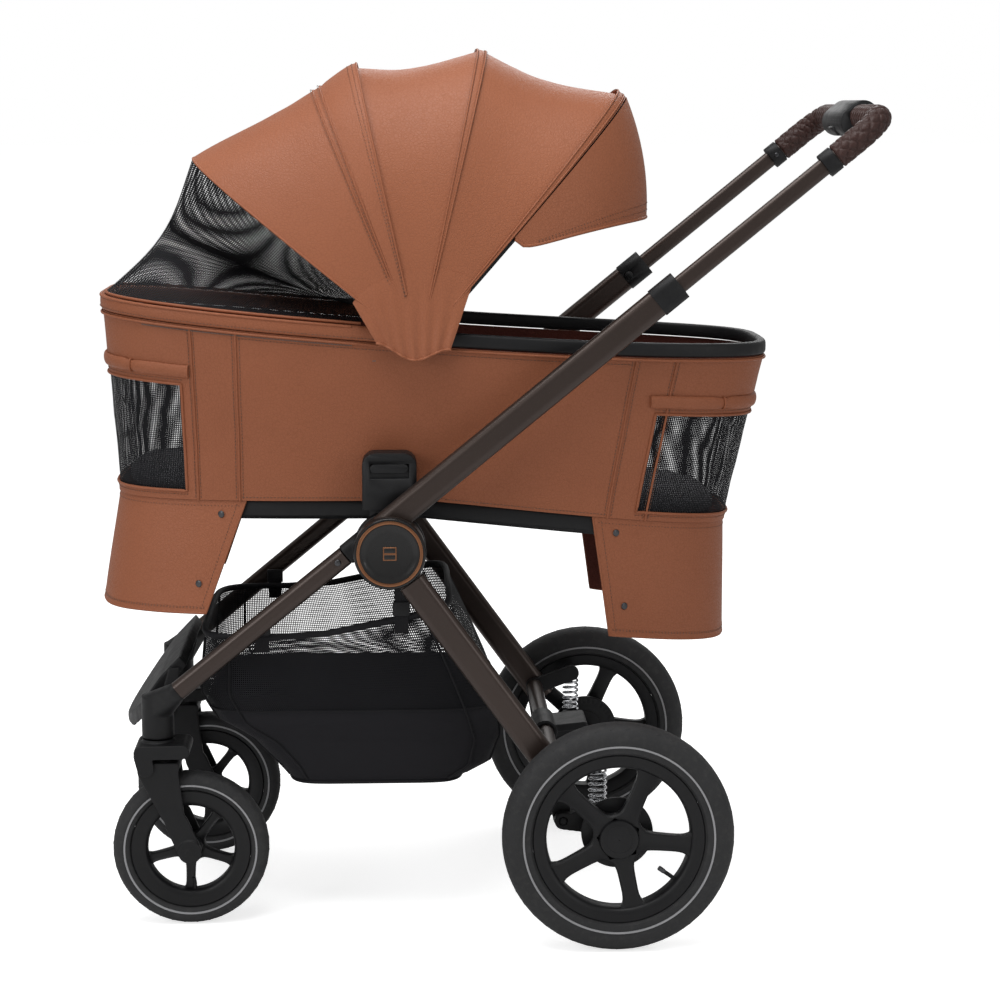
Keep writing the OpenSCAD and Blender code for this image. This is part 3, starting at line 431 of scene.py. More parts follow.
def plated(name, dark, bright, rough):
    """Plated or anodised metal with a slight brushing round it."""
    material, tree, shader, place, shade = finish(name, 20.0, Metallic=1.0, Roughness=rough)
    feed(shader, Base_Color=mix(tree, shade.outputs[0], dark, bright))
    fine = shader_node(tree, "ShaderNodeTexNoise", Vector=place, Scale=900.0, Detail=3.0)
    feed(shader, Roughness=ramp(tree, fine.outputs[0], [(0.3, rough * 0.8), (0.7, rough * 1.3)]))
    relief(tree, shader, fine.outputs[0], 0.05, 0.0001)
    return material


copper = plated("copper_anodised", (0.20, 0.085, 0.042), (0.32, 0.15, 0.08), 0.3)
bright_steel = plated("plated_steel", (0.55, 0.56, 0.58), (0.75, 0.76, 0.78), 0.2)
dark_steel = plated("blacked_steel", (0.06, 0.06, 0.065), (0.11, 0.11, 0.115), 0.35)
hub_gloss = moulded_plastic("hub_satin_black", (0.006, 0.0055, 0.0055), 0.3, 900.0, 0.00004, 0.3)

SIDES = (("left", -1), ("right", 1))
HUB = (-127.0, 498.0)
hub_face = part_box("hub_caps")[1][1] * 1000
for name, s in SIDES:
    cap = turned(f"hub_cap_{name}", [
        (0, hub_face - 5.6), (0, hub_face - 2.6), (27, hub_face - 2.4), (31, hub_face - 2.0), (33.5, hub_face - 0.4),
        (35.5, hub_face), (36.6, hub_face), (37.0, hub_face - 0.9), (41.4, hub_face - 0.9), (41.8, hub_face),
        (43.6, hub_face - 0.2), (44.8, hub_face - 1.6), (45, hub_face - 5.9), (0.01, hub_face - 5.95)],
        HUB, s, hub_gloss, "front_frame")
    if s < 0:
        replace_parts(cap, "hub_caps")
    turned(f"hub_ring_{name}", [
        (37.2, hub_face - 1.4), (37.3, hub_face - 0.2), (38.2, hub_face + 0.15), (40.3, hub_face + 0.15),
        (41.1, hub_face - 0.2), (41.2, hub_face - 1.4)], HUB, s, copper, "front_frame", 128)
    frame_y, plate_y = s * (hub_face - 1.9), s * (hub_face - 1.3)
    block(f"hub_badge_{name}", [
        ((HUB[0] - 8.5, frame_y - 0.9, HUB[1] - 8.5), (HUB[0] + 8.5, frame_y + 0.9, HUB[1] + 8.5))],
        copper, "front_frame", 0.7)
    block(f"hub_badge_plate_{name}", [
        ((HUB[0] - 7, plate_y - 0.8, HUB[1] + low), (HUB[0] + 7, plate_y + 0.8, HUB[1] + high))
        for low, high in ((1.2, 7), (-7, -1.2))], hub_gloss, "front_frame", 0.5)

# Rivets and screws: domed blacked-steel rivets in the front legs, and socket
# screws in the rear brackets and the clamps. Set out by one geometry tree.


def small_head(name, radius, height, material, recess=True):
    """The head of a rivet or screw about its own Z, as the shape to repeat."""
    sides = 20
    outline = [(radius, 0), (radius, height * 0.45), (radius * 0.86, height * 0.85), (radius * 0.6, height)]
    if recess:
        outline += [(radius * 0.42, height), (radius * 0.38, height * 0.45), (0, height * 0.4)]
    else:
        outline.append((0, height * 1.08))
    work = bmesh.new()
    rings = []
    for r, z in outline:
        if r == 0:
            rings.append([work.verts.new((0, 0, z * MM))])
        else:
            rings.append([work.verts.new((r * MM * cos(2 * pi * i / sides),
                                          r * MM * sin(2 * pi * i / sides), z * MM))
                          for i in range(sides)])
    for a, b in zip(rings, rings[1:]):
        for i in range(sides):
            j = (i + 1) % sides
            if len(b) == 1:
                work.faces.new((a[i], a[j], b[0]))
            else:
                work.faces.new((a[i], a[j], b[j], b[i]))
    work.faces.new(list(reversed(rings[0])))
    return from_work(name, work, material, 45)


def repeat_tree():
    """One shape set on every point, turned to the point's own direction."""
    tree = bpy.data.node_groups.new("set_on_points", "GeometryNodeTree")
    for title, kind in (("Points", "NodeSocketGeometry"), ("Shape", "NodeSocketObject"),
                        ("Size", "NodeSocketFloat"), ("Finish", "NodeSocketMaterial"), ("Seed", "NodeSocketInt"),
                        ("Uneven", "NodeSocketFloat")):
        tree.interface.new_socket(title, in_out="INPUT", socket_type=kind)
    tree.interface.new_socket("Geometry", in_out="OUTPUT", socket_type="NodeSocketGeometry")
    given, out = tree.nodes.new("NodeGroupInput"), tree.nodes.new("NodeGroupOutput")
    link = tree.links.new
    shape = tree.nodes.new("GeometryNodeObjectInfo")
    link(given.outputs["Shape"], shape.inputs[0])
    turn = tree.nodes.new("GeometryNodeInputNamedAttribute")
    turn.data_type = "FLOAT_VECTOR"
    turn.inputs[0].default_value = "turn"
    vary = tree.nodes.new("FunctionNodeRandomValue")
    vary.data_type = "FLOAT"
    link(given.outputs["Seed"], vary.inputs["Seed"])
    low = tree.nodes.new("ShaderNodeMath")
    low.operation = "SUBTRACT"
    link(given.outputs["Size"], low.inputs[0])
    link(given.outputs["Uneven"], low.inputs[1])
    link(low.outputs[0], vary.inputs[2])
    link(given.outputs["Size"], vary.inputs[3])
    place = tree.nodes.new("GeometryNodeInstanceOnPoints")
    link(given.outputs["Points"], place.inputs["Points"])
    link(shape.outputs["Geometry"], place.inputs["Instance"])
    to_turn = tree.nodes.new("FunctionNodeEulerToRotation")
    link(turn.outputs["Attribute"], to_turn.inputs[0])
    link(to_turn.outputs[0], place.inputs["Rotation"])
    link(vary.outputs[1], place.inputs["Scale"])
    real = tree.nodes.new("GeometryNodeRealizeInstances")
    link(place.outputs[0], real.inputs[0])
    paint = tree.nodes.new("GeometryNodeSetMaterial")
    link(real.outputs[0], paint.inputs[0])
    link(given.outputs["Finish"], paint.inputs["Material"])
    link(paint.outputs[0], out.inputs[0])
    return tree


set_on_points = repeat_tree()


def facing(normal, along=None):
    """Euler turn that lays Z on the normal and, where given, X along a direction."""
    z = Vector(normal).normalized()
    x = Vector(along) if along is not None else Vector((0, 0, 1)) if abs(z.z) < 0.9 else Vector((1, 0, 0))
    x = (x - z * x.dot(z)).normalized()
    return Matrix((x, z.cross(x), z)).transposed().to_euler()


def repeat(name, shape, spots, material, body, size=1.0, seed=7, uneven=0.0):
    """Sets a shape on (point, normal, along) spots, in millimetres, as one plain mesh."""
    mesh = bpy.data.meshes.new(name)
    mesh.from_pydata([[c * MM for c in spot[0]] for spot in spots], [], [])
    turn = mesh.attributes.new("turn", "FLOAT_VECTOR", "POINT")
    turns = [facing(spot[1], spot[2] if len(spot) > 2 else None) for spot in spots]
    turn.data.foreach_set("vector", [c for t in turns for c in t])
    piece = set_out(name, mesh)
    maker = piece.modifiers.new("repeat", "NODES")
    maker.node_group = set_on_points
    named = {item.name: item.identifier for item in set_on_points.interface.items_tree if item.in_out == "INPUT"}
    for title, value in (("Shape", shape), ("Size", size), ("Finish", material), ("Seed", seed), ("Uneven", uneven)):
        maker[named[title]] = value
    apply_modifiers(piece)
    piece.data.polygons.foreach_set("use_smooth", [True] * len(piece.data.polygons))
    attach(piece, body)
    return piece


def put_away(*shapes):
    """Removes the shapes that were only there to be repeated."""
    for shape in shapes:
        bpy.data.objects.remove(shape)


TILT = radians(39.3)
DROP = radians(54)


def along_handle(d, off=0.0):
    """Side-view point on the main line of the handle and front legs."""
    return (HUB[0] + d * cos(TILT) - off * sin(TILT), HUB[1] + d * sin(TILT) + off * cos(TILT))


def along_rear(d):
    """Side-view point on the middle line of a rear leg."""
    return (HUB[0] + d * cos(DROP), HUB[1] - d * sin(DROP))


rivet = small_head("rivet_shape", 4.2, 2.0, dark_steel, recess=False)
screw = small_head("screw_shape", 3.2, 1.8, dark_steel)
leg_rivets, rear_rivets, clamp_screws = [], [], []
for name, s in SIDES:
    for d in (-292, -306):
        x, z = along_handle(d, 27)
        leg_rivets.append(((x, s * (199 - 9 - (-d - 50) / 275 * 11), z), (0, -s, 0)))
    x, z = along_handle(-62, 27)
    leg_rivets.append(((x, s * 207.6, z), (0, s, 0)))
    for d in (330, 356):
        x, z = along_rear(d)
        rear_rivets.append(((x, s * 249, z), (0, s, 0)))
    x, z = along_handle(723, 27)
    clamp_screws.append(((x, s * 208.2, z), (0, -s, 0)))
repeat("leg_rivets", rivet, leg_rivets, dark_steel, "front_frame")
repeat("rear_leg_rivets", screw, rear_rivets, dark_steel, "rear_frame")
repeat("clamp_screws", screw, clamp_screws, dark_steel, "handle_upper")
put_away(rivet, screw)

# Wheels: five-spoke nylon wheels with foam-filled rubber tyres. A rolled
# light band runs round the sidewall and small tread blocks round the crown.


def tyre_rubber():
    """Dull black rubber, dusty in the grooves, with fine mould lines."""
    material, tree, shader, place, shade = finish("tyre_rubber", 14.0, Roughness=0.72, Specular_IOR_Level=0.35)
    base = mix(tree, shade.outputs[0], (0.014, 0.014, 0.015), (0.030, 0.030, 0.031))
    dusty = mix(tree, ramp(tree, shade.outputs[1], [(0.5, 0.0), (0.75, 0.3)]), base, (0.055, 0.053, 0.05))
    feed(shader, Base_Color=dusty)
    fine = shader_node(tree, "ShaderNodeTexNoise", Vector=place, Scale=1100.0, Detail=4.0)
    feed(shader, Roughness=ramp(tree, fine.outputs[0], [(0.3, 0.62), (0.7, 0.82)]))
    relief(tree, shader, fine.outputs[0], 0.3, 0.00025)
    return material


def light_band():
    """The pale reflective band on the sidewall: glass beads in grey rubber."""
    material, tree, shader, place, shade = finish("reflective_band", 30.0, Roughness=0.4, Metallic=0.3)
    beads = shader_node(tree, "ShaderNodeTexVoronoi", Vector=place, Scale=1600.0)
    base = mix(tree, shade.outputs[0], (0.27, 0.27, 0.28), (0.42, 0.42, 0.43))
    between = ramp(tree, beads.outputs["Distance"], [(0.1, 0.0), (0.6, 0.4)])
    feed(shader, Base_Color=mix(tree, between, base, (0.18, 0.18, 0.19)))
    relief(tree, shader, beads.outputs["Distance"], 0.2, 0.0001)
    return material


tyre_black = tyre_rubber()
band_grey = light_band()


def tyre_outline(rim, r, w):
    """Half-round tyre section as (radius, across)."""
    mid, a = rim + (r - rim) * 0.45, w / 2
    points = []
    for i in range(25):
        t = pi * i / 24
        points.append((mid + (r - mid) * sin(t), a * copysign(abs(cos(t)) ** 0.8, cos(t))))
    return points + [(rim + 3, -a + 2), (rim, -a + 6), (rim, a - 6), (rim + 3, a - 2)]


def tyre(name, side, body, centre, across, rim, r, w, blocks, node):
    """Tyre, its light band and its tread."""
    whole = turned(name, [(radius, across + y) for radius, y in tyre_outline(rim, r, w)],
                   centre, side, tyre_black, body, 144)
    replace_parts(whole, node)
    mid, a = rim + (r - rim) * 0.45, w / 2
    low = rim + (r - rim) * 0.26
    for face in (-1, 1):
        turned(f"{name}_band_{'out' if face > 0 else 'in'}", [
            (low, across + face * (a - 2.6)), (low + 0.4, across + face * (a - 0.05)),
            (low + 2.6, across + face * (a + 0.25)), (low + 3.0, across + face * (a - 2.6))],
            centre, side, band_grey, body, 128)
    lug = block("lug_shape", [((-3.1, -1.5, -1.2), (3.1, 1.5, 0.55))], tyre_black, None, 0.25, 1)
    spots = []
    for i in range(blocks):
        for row, lean in ((-1.1, 25), (-0.42, -28), (0.42, -28), (1.1, 25)):
            turn = 2 * pi * (i + (0.5 if abs(row) < 1 else 0)) / blocks
            tip = radians(90 - row * 34)
            radius = mid + (r - mid) * sin(tip) - 0.45
            y = across + a * copysign(abs(cos(tip)) ** 0.8, cos(tip)) * 0.985
            out = Vector((cos(turn) * sin(tip), side * cos(tip), sin(turn) * sin(tip)))
            round_way = Vector((-sin(turn), 0, cos(turn)))
            way = Matrix.Rotation(radians(lean * (1 if row > 0 else -1)), 3, out) @ round_way
            spots.append(((centre[0] + radius * cos(turn), side * y, centre[1] + radius * sin(turn)), out, way))
    repeat(f"{name}_tread", lug, spots, tyre_black, body)
    put_away(lug)


def wheel(name, side, body, centre, across, rim, w, hub, hub_in, hub_out, opening, spoke, turn, offset, node):
    """Wheel body: barrel with rolled lips, five tapering spokes and a hub."""
    a = w / 2
    barrel = [(opening, across - a + 7), (opening - 0.8, across), (opening, across + a - 6),
              (opening + 3, across + a - 2.5), (opening + 8, across + a - 1.2), (rim - 4, across + a - 0.8),
              (rim - 1.2, across + a), (rim, across + a - 1), (rim, across - a + 1), (rim - 1.2, across - a),
              (rim - 4, across - a + 0.8), (opening + 5, across - a + 2)]
    whole = turned(name, barrel, centre, side, satin_nylon, body, 128)
    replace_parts(whole, node)
    turned(f"{name}_hub", [
        (4, across + hub_in), (hub - 1.5, across + hub_in), (hub, across + hub_in + 1.5), (hub, across + hub_out - 4),
        (hub - 1.4, across + hub_out - 1.4), (hub - 4.5, across + hub_out - 0.4), (hub * 0.55, across + hub_out),
        (0.6, across + hub_out + 0.2), (0.5, across + hub_out - 3), (4, across + hub_out - 5)],
        centre, side, satin_nylon, body, 72)
    turned(f"{name}_cap_groove", [
        (hub * 0.66, across + hub_out - 0.8), (hub * 0.67, across + hub_out + 0.12),
        (hub * 0.71, across + hub_out + 0.12), (hub * 0.72, across + hub_out - 0.8)],
        centre, side, black_nylon, body, 72)
    work = bmesh.new()
    steps = 14
    for k in range(5):
        lean = radians(turn + 72 * k)
        rings = []
        for i in range(steps + 1):
            f = i / steps
            r = hub - 2 + (opening + 3.5 - hub) * f
            flare = (0.28 * abs(2 * f - 1) ** 4 + (0.35 * max(0, f - 0.82) / 0.18) ** 2
                     + (0.5 * max(0, 0.16 - f) / 0.16) ** 2)
            half = spoke * (0.5 + flare) * (1 - 0.10 * f)
            deep = 7.2 - 1.4 * f
            mid = across + offset + 1.5 * cos(f * pi)
            ring = []
            for u, v in ((-1, -0.75), (-0.72, -1), (0.72, -1), (1, -0.75), (1, 0.72), (0.8, 1.0), (0.42, 0.78),
                         (-0.42, 0.78), (-0.8, 1.0), (-1, 0.72)):
                x, z = r * cos(lean) - u * half * sin(lean), r * sin(lean) + u * half * cos(lean)
                corner = (centre[0] + x, side * (mid + v * deep), centre[1] + z)
                ring.append(work.verts.new([c * MM for c in corner]))
            rings.append(ring)
        for p, q in zip(rings, rings[1:]):
            for j in range(10):
                work.faces.new((p[j], p[(j + 1) % 10], q[(j + 1) % 10], q[j]))
        work.faces.new(rings[0])
        work.faces.new(list(reversed(rings[-1])))
    bmesh.ops.recalc_face_normals(work, faces=work.faces)
    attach(from_work(f"{name}_spokes", work, satin_nylon, 38), body)


def tube_along(name, path, radius, material, body, sides=10, closed=False, shape=None, ups=None):
    """A tube or strip of one section along points in millimetres."""
    path = [Vector(p) for p in path]
    count = len(path)
    section = shape or [(radius * cos(2 * pi * j / sides), radius * sin(2 * pi * j / sides))
                        for j in range(sides)]
    points, up = [], None
    for i, p in enumerate(path):
        ahead = path[(i + 1) % count] if closed or i < count - 1 else p
        behind = path[i - 1] if closed or i > 0 else p
        way = (ahead - behind).normalized()
        if ups is not None:
            up = Vector(ups[i])
        elif up is None:
            up = Vector((0, 0, 1)) if abs(way.z) < 0.9 else Vector((0, 1, 0))
        up = (up - way * up.dot(way)).normalized()
        cross = way.cross(up)
        points += [p + cross * a + up * b for a, b in section]
    n = len(section)
    faces = ring_faces(count, n, closed, caps=False)
    if not closed:
        faces += [tuple(range(n)), tuple((count - 1) * n + j for j in reversed(range(n)))]
    return add_piece(name, points, faces, material, body, 50)


REAR_AXLE, FRONT_AXLE = (155.0, 145.0), (-385.0, 100.0)
REAR_SIDE, FRONT_SIDE = 280, 154
for name, s in SIDES:
    body = f"rear_wheel_{name}"
    tyre(f"rear_tyre_{name}_moulded", s, body, REAR_AXLE, REAR_SIDE, rim=107.5, r=145, w=44,
         blocks=46, node=f"rear_tyre_{name}")
    wheel(f"rear_wheel_{name}_rim", s, body, REAR_AXLE, REAR_SIDE, rim=107.3, w=34, hub=25, hub_in=-19,
          hub_out=20, opening=90, spoke=22, turn=-78, offset=8, node=f"rear_rim_{name}")
    valve = radians(-38)
    at = Vector((REAR_AXLE[0] + 91 * cos(valve), s * 284, REAR_AXLE[1] + 91 * sin(valve)))
    inwards = Vector((-cos(valve), 0, -sin(valve)))
    tip = at + inwards * 19 + Vector((0, s * 3, 0))
    tube_along(f"rear_valve_{name}", [at, at + inwards * 9, at + inwards * 14 + Vector((0, s * 1.5, 0)), tip],
               2.6, black_nylon, body)
    tube_along(f"rear_valve_cap_{name}", [tip, tip + inwards * 8 + Vector((0, s, 0))], 3.1, dark_steel, body, 8)
    notch = block("notch_shape", [((-3.4, -2.2, -1.5), (3.4, 2.2, 1.6))], black_nylon, None, 0.4)
    spots = []
    for i in range(36):
        a = 2 * pi * i / 36
        spots.append(((REAR_AXLE[0] + 39 * cos(a), s * 262.6, REAR_AXLE[1] + 39 * sin(a)), (0, -s, 0),
                      (cos(a), 0, sin(a))))
    repeat(f"brake_teeth_{name}", notch, spots, black_nylon, body)
    put_away(notch)
    turned(f"brake_drum_{name}", [(24, 263), (24.4, 261.3), (44, 261.3), (45, 262.3), (45, 266), (25, 268)],
           REAR_AXLE, s, satin_nylon, body, 72)
    body = f"front_wheel_{name}"
    tyre(f"front_tyre_{name}_moulded", s, body, FRONT_AXLE, FRONT_SIDE, rim=77, r=100, w=36,
         blocks=38, node=f"front_tyre_{name}")
    wheel(f"front_wheel_{name}_rim", s, body, FRONT_AXLE, FRONT_SIDE, rim=76.8, w=28, hub=16, hub_in=-19,
          hub_out=19, opening=56, spoke=12, turn=-20, offset=0, node=f"front_rim_{name}")
    at = Vector((FRONT_AXLE[0] + 4, s * 158, FRONT_AXLE[1] - 57))
    tube_along(f"front_valve_{name}", [at, at + Vector((0, 0, 9)), at + Vector((-1, s * 2, 17))], 2.4, black_nylon,
               body)

# Springs over the rear arms: plated steel wire wound in six and a half turns,
# with flattened ends that sit in the seats of the brackets and the arms.
for name, s in SIDES:
    low, high = (Vector(c) * 1000 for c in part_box(f"rear_spring_{name}"))
    x, y, radius = (low.x + high.x) / 2, (low.y + high.y) / 2, (high.x - low.x) / 2 - 1.7
    coils, around = 6.5, 24
    wire = []
    for i in range(int(coils * around) + 1):
        a = 2 * pi * i / around
        flat = min(1.0, i / around, (coils * around - i) / around)
        share = i / (coils * around)
        z = low.z + 1.8 + (high.z - low.z - 3.6) * (share if flat >= 1 else share + (0.5 - share) * 0.08 * (1 - flat))
        wire.append((x + radius * cos(a), y + radius * sin(a), z))
    spring = tube_along(f"rear_coil_spring_{name}", wire, 1.6, bright_steel, None, 10)
    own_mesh(spring)
    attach(spring, "rear_frame")
    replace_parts(spring, f"rear_spring_{name}")


# Buffers over the castor arms: ribbed pads moulded in soft rubber, held between
# the castor heads and the forks, where they flatten over a bump.


def buffer_rubber():
    """Dull elastomer with a dusty bloom."""
    material, tree, shader, _, shade = finish("buffer_rubber", 40.0, Roughness=0.8, Specular_IOR_Level=0.3)
    feed(shader, Base_Color=mix(tree, shade.outputs[1], (0.014, 0.014, 0.015), (0.03, 0.03, 0.032)))
    relief(tree, shader, shade.outputs[1], 0.4, 0.0003)
    return material


pad_rubber = buffer_rubber()
for name, s in SIDES:
    low, high = (Vector(c) * 1000 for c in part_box(f"fork_pad_{name}"))
    centre, radius = (low + high) / 2, min(high.x - low.x, high.y - low.y) / 2
    outline = [(0.2, low.z + 0.2), (radius * 0.82, low.z + 0.2), (radius * 0.98, low.z + 1.4)]
    rings = 5
    for i in range(1, rings * 4):
        f = i / (rings * 4)
        z = low.z + 1.4 + (high.z - low.z - 2.8) * f
        outline.append((radius * (0.93 + 0.06 * cos(2 * pi * rings * f)), z))
    outline += [(radius * 0.98, high.z - 1.4), (radius * 0.82, high.z - 0.2), (0.2, high.z - 0.2)]
    turns, n = 40, len(outline)
    points = [(centre.x + r * cos(2 * pi * k / turns), centre.y + r * sin(2 * pi * k / turns), z)
              for k in range(turns) for r, z in outline]
    faces = [(k * n + i, ((k + 1) % turns) * n + i, ((k + 1) % turns) * n + i + 1, k * n + i + 1)
             for k in range(turns) for i in range(n - 1)]
    faces += [tuple(k * n for k in reversed(range(turns))), tuple(k * n + n - 1 for k in range(turns))]
    pad = add_piece(f"castor_buffer_{name}", points, faces, pad_rubber, crisp=50)
    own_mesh(pad)
    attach(pad, f"castor_{name}")
    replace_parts(pad, f"fork_pad_{name}")


# Hand grips: brown leather-like sleeves quilted over foam, drawn onto the two
# ends of the push bar and closed by a sewn seam along their undersides.


def pebble_effect():
    """Leather grain: rounded pebbles of two sizes with fine creases between them."""
    tree, given, out = shared_effect(
        "leather_grain",
        [("Vector", "NodeSocketVector", None), ("Scale", "NodeSocketFloat", 700.0)],
        [("Height", "NodeSocketFloat"), ("Crease", "NodeSocketFloat")])
    bend = shader_node(tree, "ShaderNodeTexNoise", Vector=given.outputs[0], Scale=160.0, Detail=2.0)
    shift = shader_node(tree, "ShaderNodeVectorMath", operation="SCALE", i0=bend.outputs[1], Scale=0.0016)
    moved = shader_node(tree, "ShaderNodeVectorMath", operation="ADD", i0=given.outputs[0], i1=shift.outputs[0])
    cells = shader_node(tree, "ShaderNodeTexVoronoi", Vector=moved.outputs[0], Scale=given.outputs[1])
    cells.feature = "SMOOTH_F1"
    bigger = shader_node(tree, "ShaderNodeMath", operation="MULTIPLY", i0=given.outputs[1], i1=0.37)
    large = shader_node(tree, "ShaderNodeTexVoronoi", Vector=moved.outputs[0], Scale=bigger.outputs[0])
    large.feature = "DISTANCE_TO_EDGE"
    fold = shader_node(tree, "ShaderNodeMapRange", Value=large.outputs["Distance"])
    fold.inputs[1].default_value, fold.inputs[2].default_value = 0.0, 0.16
    dome = shader_node(tree, "ShaderNodeMath", operation="SUBTRACT", i0=1.0, i1=cells.outputs["Distance"])
    whole = shader_node(tree, "ShaderNodeMath", operation="MULTIPLY", i0=dome.outputs[0], i1=fold.outputs[0])
    tree.links.new(whole.outputs[0], out.inputs[0])
    tree.links.new(fold.outputs[0], out.inputs[1])
    return tree


leather_grain = pebble_effect()


def leather(name, dark, light, rough, scale, depth, cloud=5.0):
    """Coated leather-like cloth: grain, painted shade darkening the creases, slow random changes of tone."""
    material, tree, shader, place, shade = finish(name, cloud, Roughness=rough, Specular_IOR_Level=0.28)
    grain = shared(tree, leather_grain, Vector=place, Scale=scale)
    base = mix(tree, ramp(tree, shade.outputs[0], [(0.3, 0.0), (0.7, 1.0)]), dark, light)
    # Painted shade: the colour darkens towards the creases between the grain's large cells.
    creased = mix(tree, ramp(tree, grain.outputs[1], [(0.0, 0.18), (0.7, 0.0)]), base, [c * 0.45 for c in dark])
    feed(shader, Base_Color=creased)
    feed(shader, Roughness=ramp(tree, grain.outputs[0], [(0.1, rough + 0.16), (0.8, rough - 0.05)]))
    relief(tree, shader, grain.outputs[0], 0.55, depth)
    return material


grip_hide = leather("grip_leather", (0.036, 0.0155, 0.0125), (0.052, 0.023, 0.019), rough=0.40, scale=520.0,
                    depth=0.0004, cloud=12.0)


def thread(name, colour):
    """Twisted sewing thread."""
    material, tree, shader, place, shade = finish(name, 150.0, Roughness=0.6)
    feed(shader, Base_Color=mix(tree, shade.outputs[0], [c * 0.7 for c in colour], colour))
    twist = shader_node(tree, "ShaderNodeTexWave", Vector=place, Scale=900.0)
    relief(tree, shader, twist.outputs[1], 0.5, 0.0002)
    return material


brown_thread = thread("brown_thread", (0.16, 0.075, 0.045))
dark_thread = thread("dark_thread", (0.03, 0.022, 0.02))


def stitch_shape(name, length, width):
    """One stitch: a small pill that lies along X."""
    points = []
    for x, r in ((-0.5, 0.35), (-0.3, 1.0), (0.3, 1.0), (0.5, 0.35)):
        points += [(x * length, r * width * cos(pi * k / 2.5), r * width * 0.7 * sin(pi * k / 2.5))
                   for k in range(5)]
    shape = add_piece(name, points, ring_faces(4, 5), brown_thread)
    recalculate(shape.data)
    return shape


stitch = stitch_shape("stitch_shape", 3.2, 0.42)
BAR_OFF = 27.0


def sewn(line, step, outwards, lift=0.0):
    """Stitch spots along a line: the point, the way the cloth faces there, and the line's direction."""
    spots = []
    for p, way in spread(line, step):
        out = Vector(outwards(p))
        spots.append((p + out * lift if lift else p, out, way))
    return spots


def spread(path, step):
    """Points at an even spacing along a path, each with its direction."""
    path = [Vector(p) for p in path]
    lengths = [0.0]
    for a, b in zip(path, path[1:]):
        lengths.append(lengths[-1] + (b - a).length)
    spots, count = [], max(1, int(lengths[-1] / step))
    i = 0
    for k in range(count + 1):
        want = lengths[-1] * k / count
        while i < len(path) - 2 and lengths[i + 1] < want:
            i += 1
        part = (want - lengths[i]) / max(1e-9, lengths[i + 1] - lengths[i])
        spots.append((path[i].lerp(path[i + 1], part), (path[i + 1] - path[i]).normalized()))
    return spots


def grip_sleeve(name, s):
    """A quilted leather sleeve round one end of the push bar, from clamp to centre housing."""
    spine = [(733.2 + 1.6 * k, 220.0) for k in range(21)]
    spine += [(766 + 42 * sin(radians(a)), 178 + 42 * cos(radians(a))) for a in range(2, 90, 2)]
    spine += [(808.0, 178 - 1.5 * k) for k in range(72)]
    path = []
    for u, y in spine:
        x, z = along_handle(u, BAR_OFF)
        path.append(Vector((x, s * y, z)))
    sides, points = 72, []
    lift_dir = Vector((-sin(TILT), 0, cos(TILT)))
    run = 0.0
    for i, p in enumerate(path):
        way = (path[min(i + 1, len(path) - 1)] - path[max(i - 1, 0)]).normalized()
        up = (lift_dir - way * lift_dir.dot(way)).normalized()
        cross = way.cross(up)
        run += (p - path[i - 1]).length if i else 0.0
        tuck = min(1.0, run / 2.0 + 0.1, (sum((path[j + 1] - path[j]).length for j in range(i, len(path) - 1))) / 4.0)
        for k in range(sides):
            a = 2 * pi * k / sides
            first, second = abs(sin(3.0 * a + run * pi / 15)), abs(sin(3.0 * a - run * pi / 15))
            quilt = (min(first, second, 0.6) / 0.6) ** 0.7
            r = 12.0 + (1.6 + 2.6 * quilt) * tuck ** 0.4
            points.append(p + cross * r * cos(a) + up * r * sin(a))
    sleeve = add_piece(name, points, ring_faces(len(path), sides), grip_hide)
    recalculate(sleeve.data)
    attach(sleeve, "handle_upper")
    return sleeve, path


for name, s in SIDES:
    sleeve, path = grip_sleeve(f"leather_grip_{name}", s)
    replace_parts(sleeve, "handle_grips")
    under = Vector((sin(TILT), 0, -cos(TILT)))
    repeat(f"grip_stitches_{name}", stitch, sewn(path[2:-2], 4.2, lambda p: under, 15.6), dark_thread, "handle_upper")

# Basket: a sewn textile tub hung between the legs. Solid coated cloth round
# the floor, open knitted net above it, and a gathered elastic binding on top.


def spow(value, power):
    """Power that keeps the sign."""
    return copysign(abs(value) ** power, value)


def squircle(x0, x1, half, square, t):
    """Plan point on a rounded rectangle."""
    c, sn = cos(radians(t)), sin(radians(t))
    return (x0 + x1) / 2 + (x1 - x0) / 2 * spow(c, 2 / square), half * spow(sn, 2 / square)


def shell(name, outer, inner, material, body, closed=False, keep=None, crisp=50):
    """A closed sheet between two equal grids of points in millimetres, with its own UV map in metres."""
    m, n = len(outer), len(outer[0])
    span, base = (n if closed else n - 1), m * n
    faces, edges = [], set()
    for i in range(m - 1):
        for j in range(span):
            if keep is not None and not keep(i, j):
                continue
            k = (j + 1) % n
            a, b, c, d = i * n + j, i * n + k, (i + 1) * n + k, (i + 1) * n + j
            faces += [(a, b, c, d), (d + base, c + base, b + base, a + base)]
            edges.update(((a, b), (b, c), (c, d), (d, a)))
    faces += [(q, p, p + base, q + base) for p, q in edges if (q, p) not in edges]
    points = [p for row in (*outer, *inner) for p in row]
    used = sorted({v for f in faces for v in f})
    order = {v: k for k, v in enumerate(used)}
    middle = outer[m // 2]
    across = [0.0]
    for j in range(1, n + 1):
        across.append(across[-1] + (Vector(middle[j % n]) - Vector(middle[j - 1])).length * MM)
    down = [0.0]
    column = n // 2
    for i in range(1, m):
        down.append(down[-1] + (Vector(outer[i][column]) - Vector(outer[i - 1][column])).length * MM)
    piece = add_piece(name, [points[v] for v in used], [tuple(order[v] for v in f) for f in faces], material, None)
    layer = piece.data.uv_layers.new(name="cloth")
    loops = iter([(v % base, f) for f in faces for v in f])
    for corner, (v, f) in zip(layer.data, loops):
        i, j = divmod(v, n)
        wraps = closed and j == 0 and any(w % base % n == n - 1 for w in f)
        corner.uv = (across[n if wraps else j], down[i])
    recalculate(piece.data)
    soften(piece, crisp)
    if body:
        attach(piece, body)
    return piece


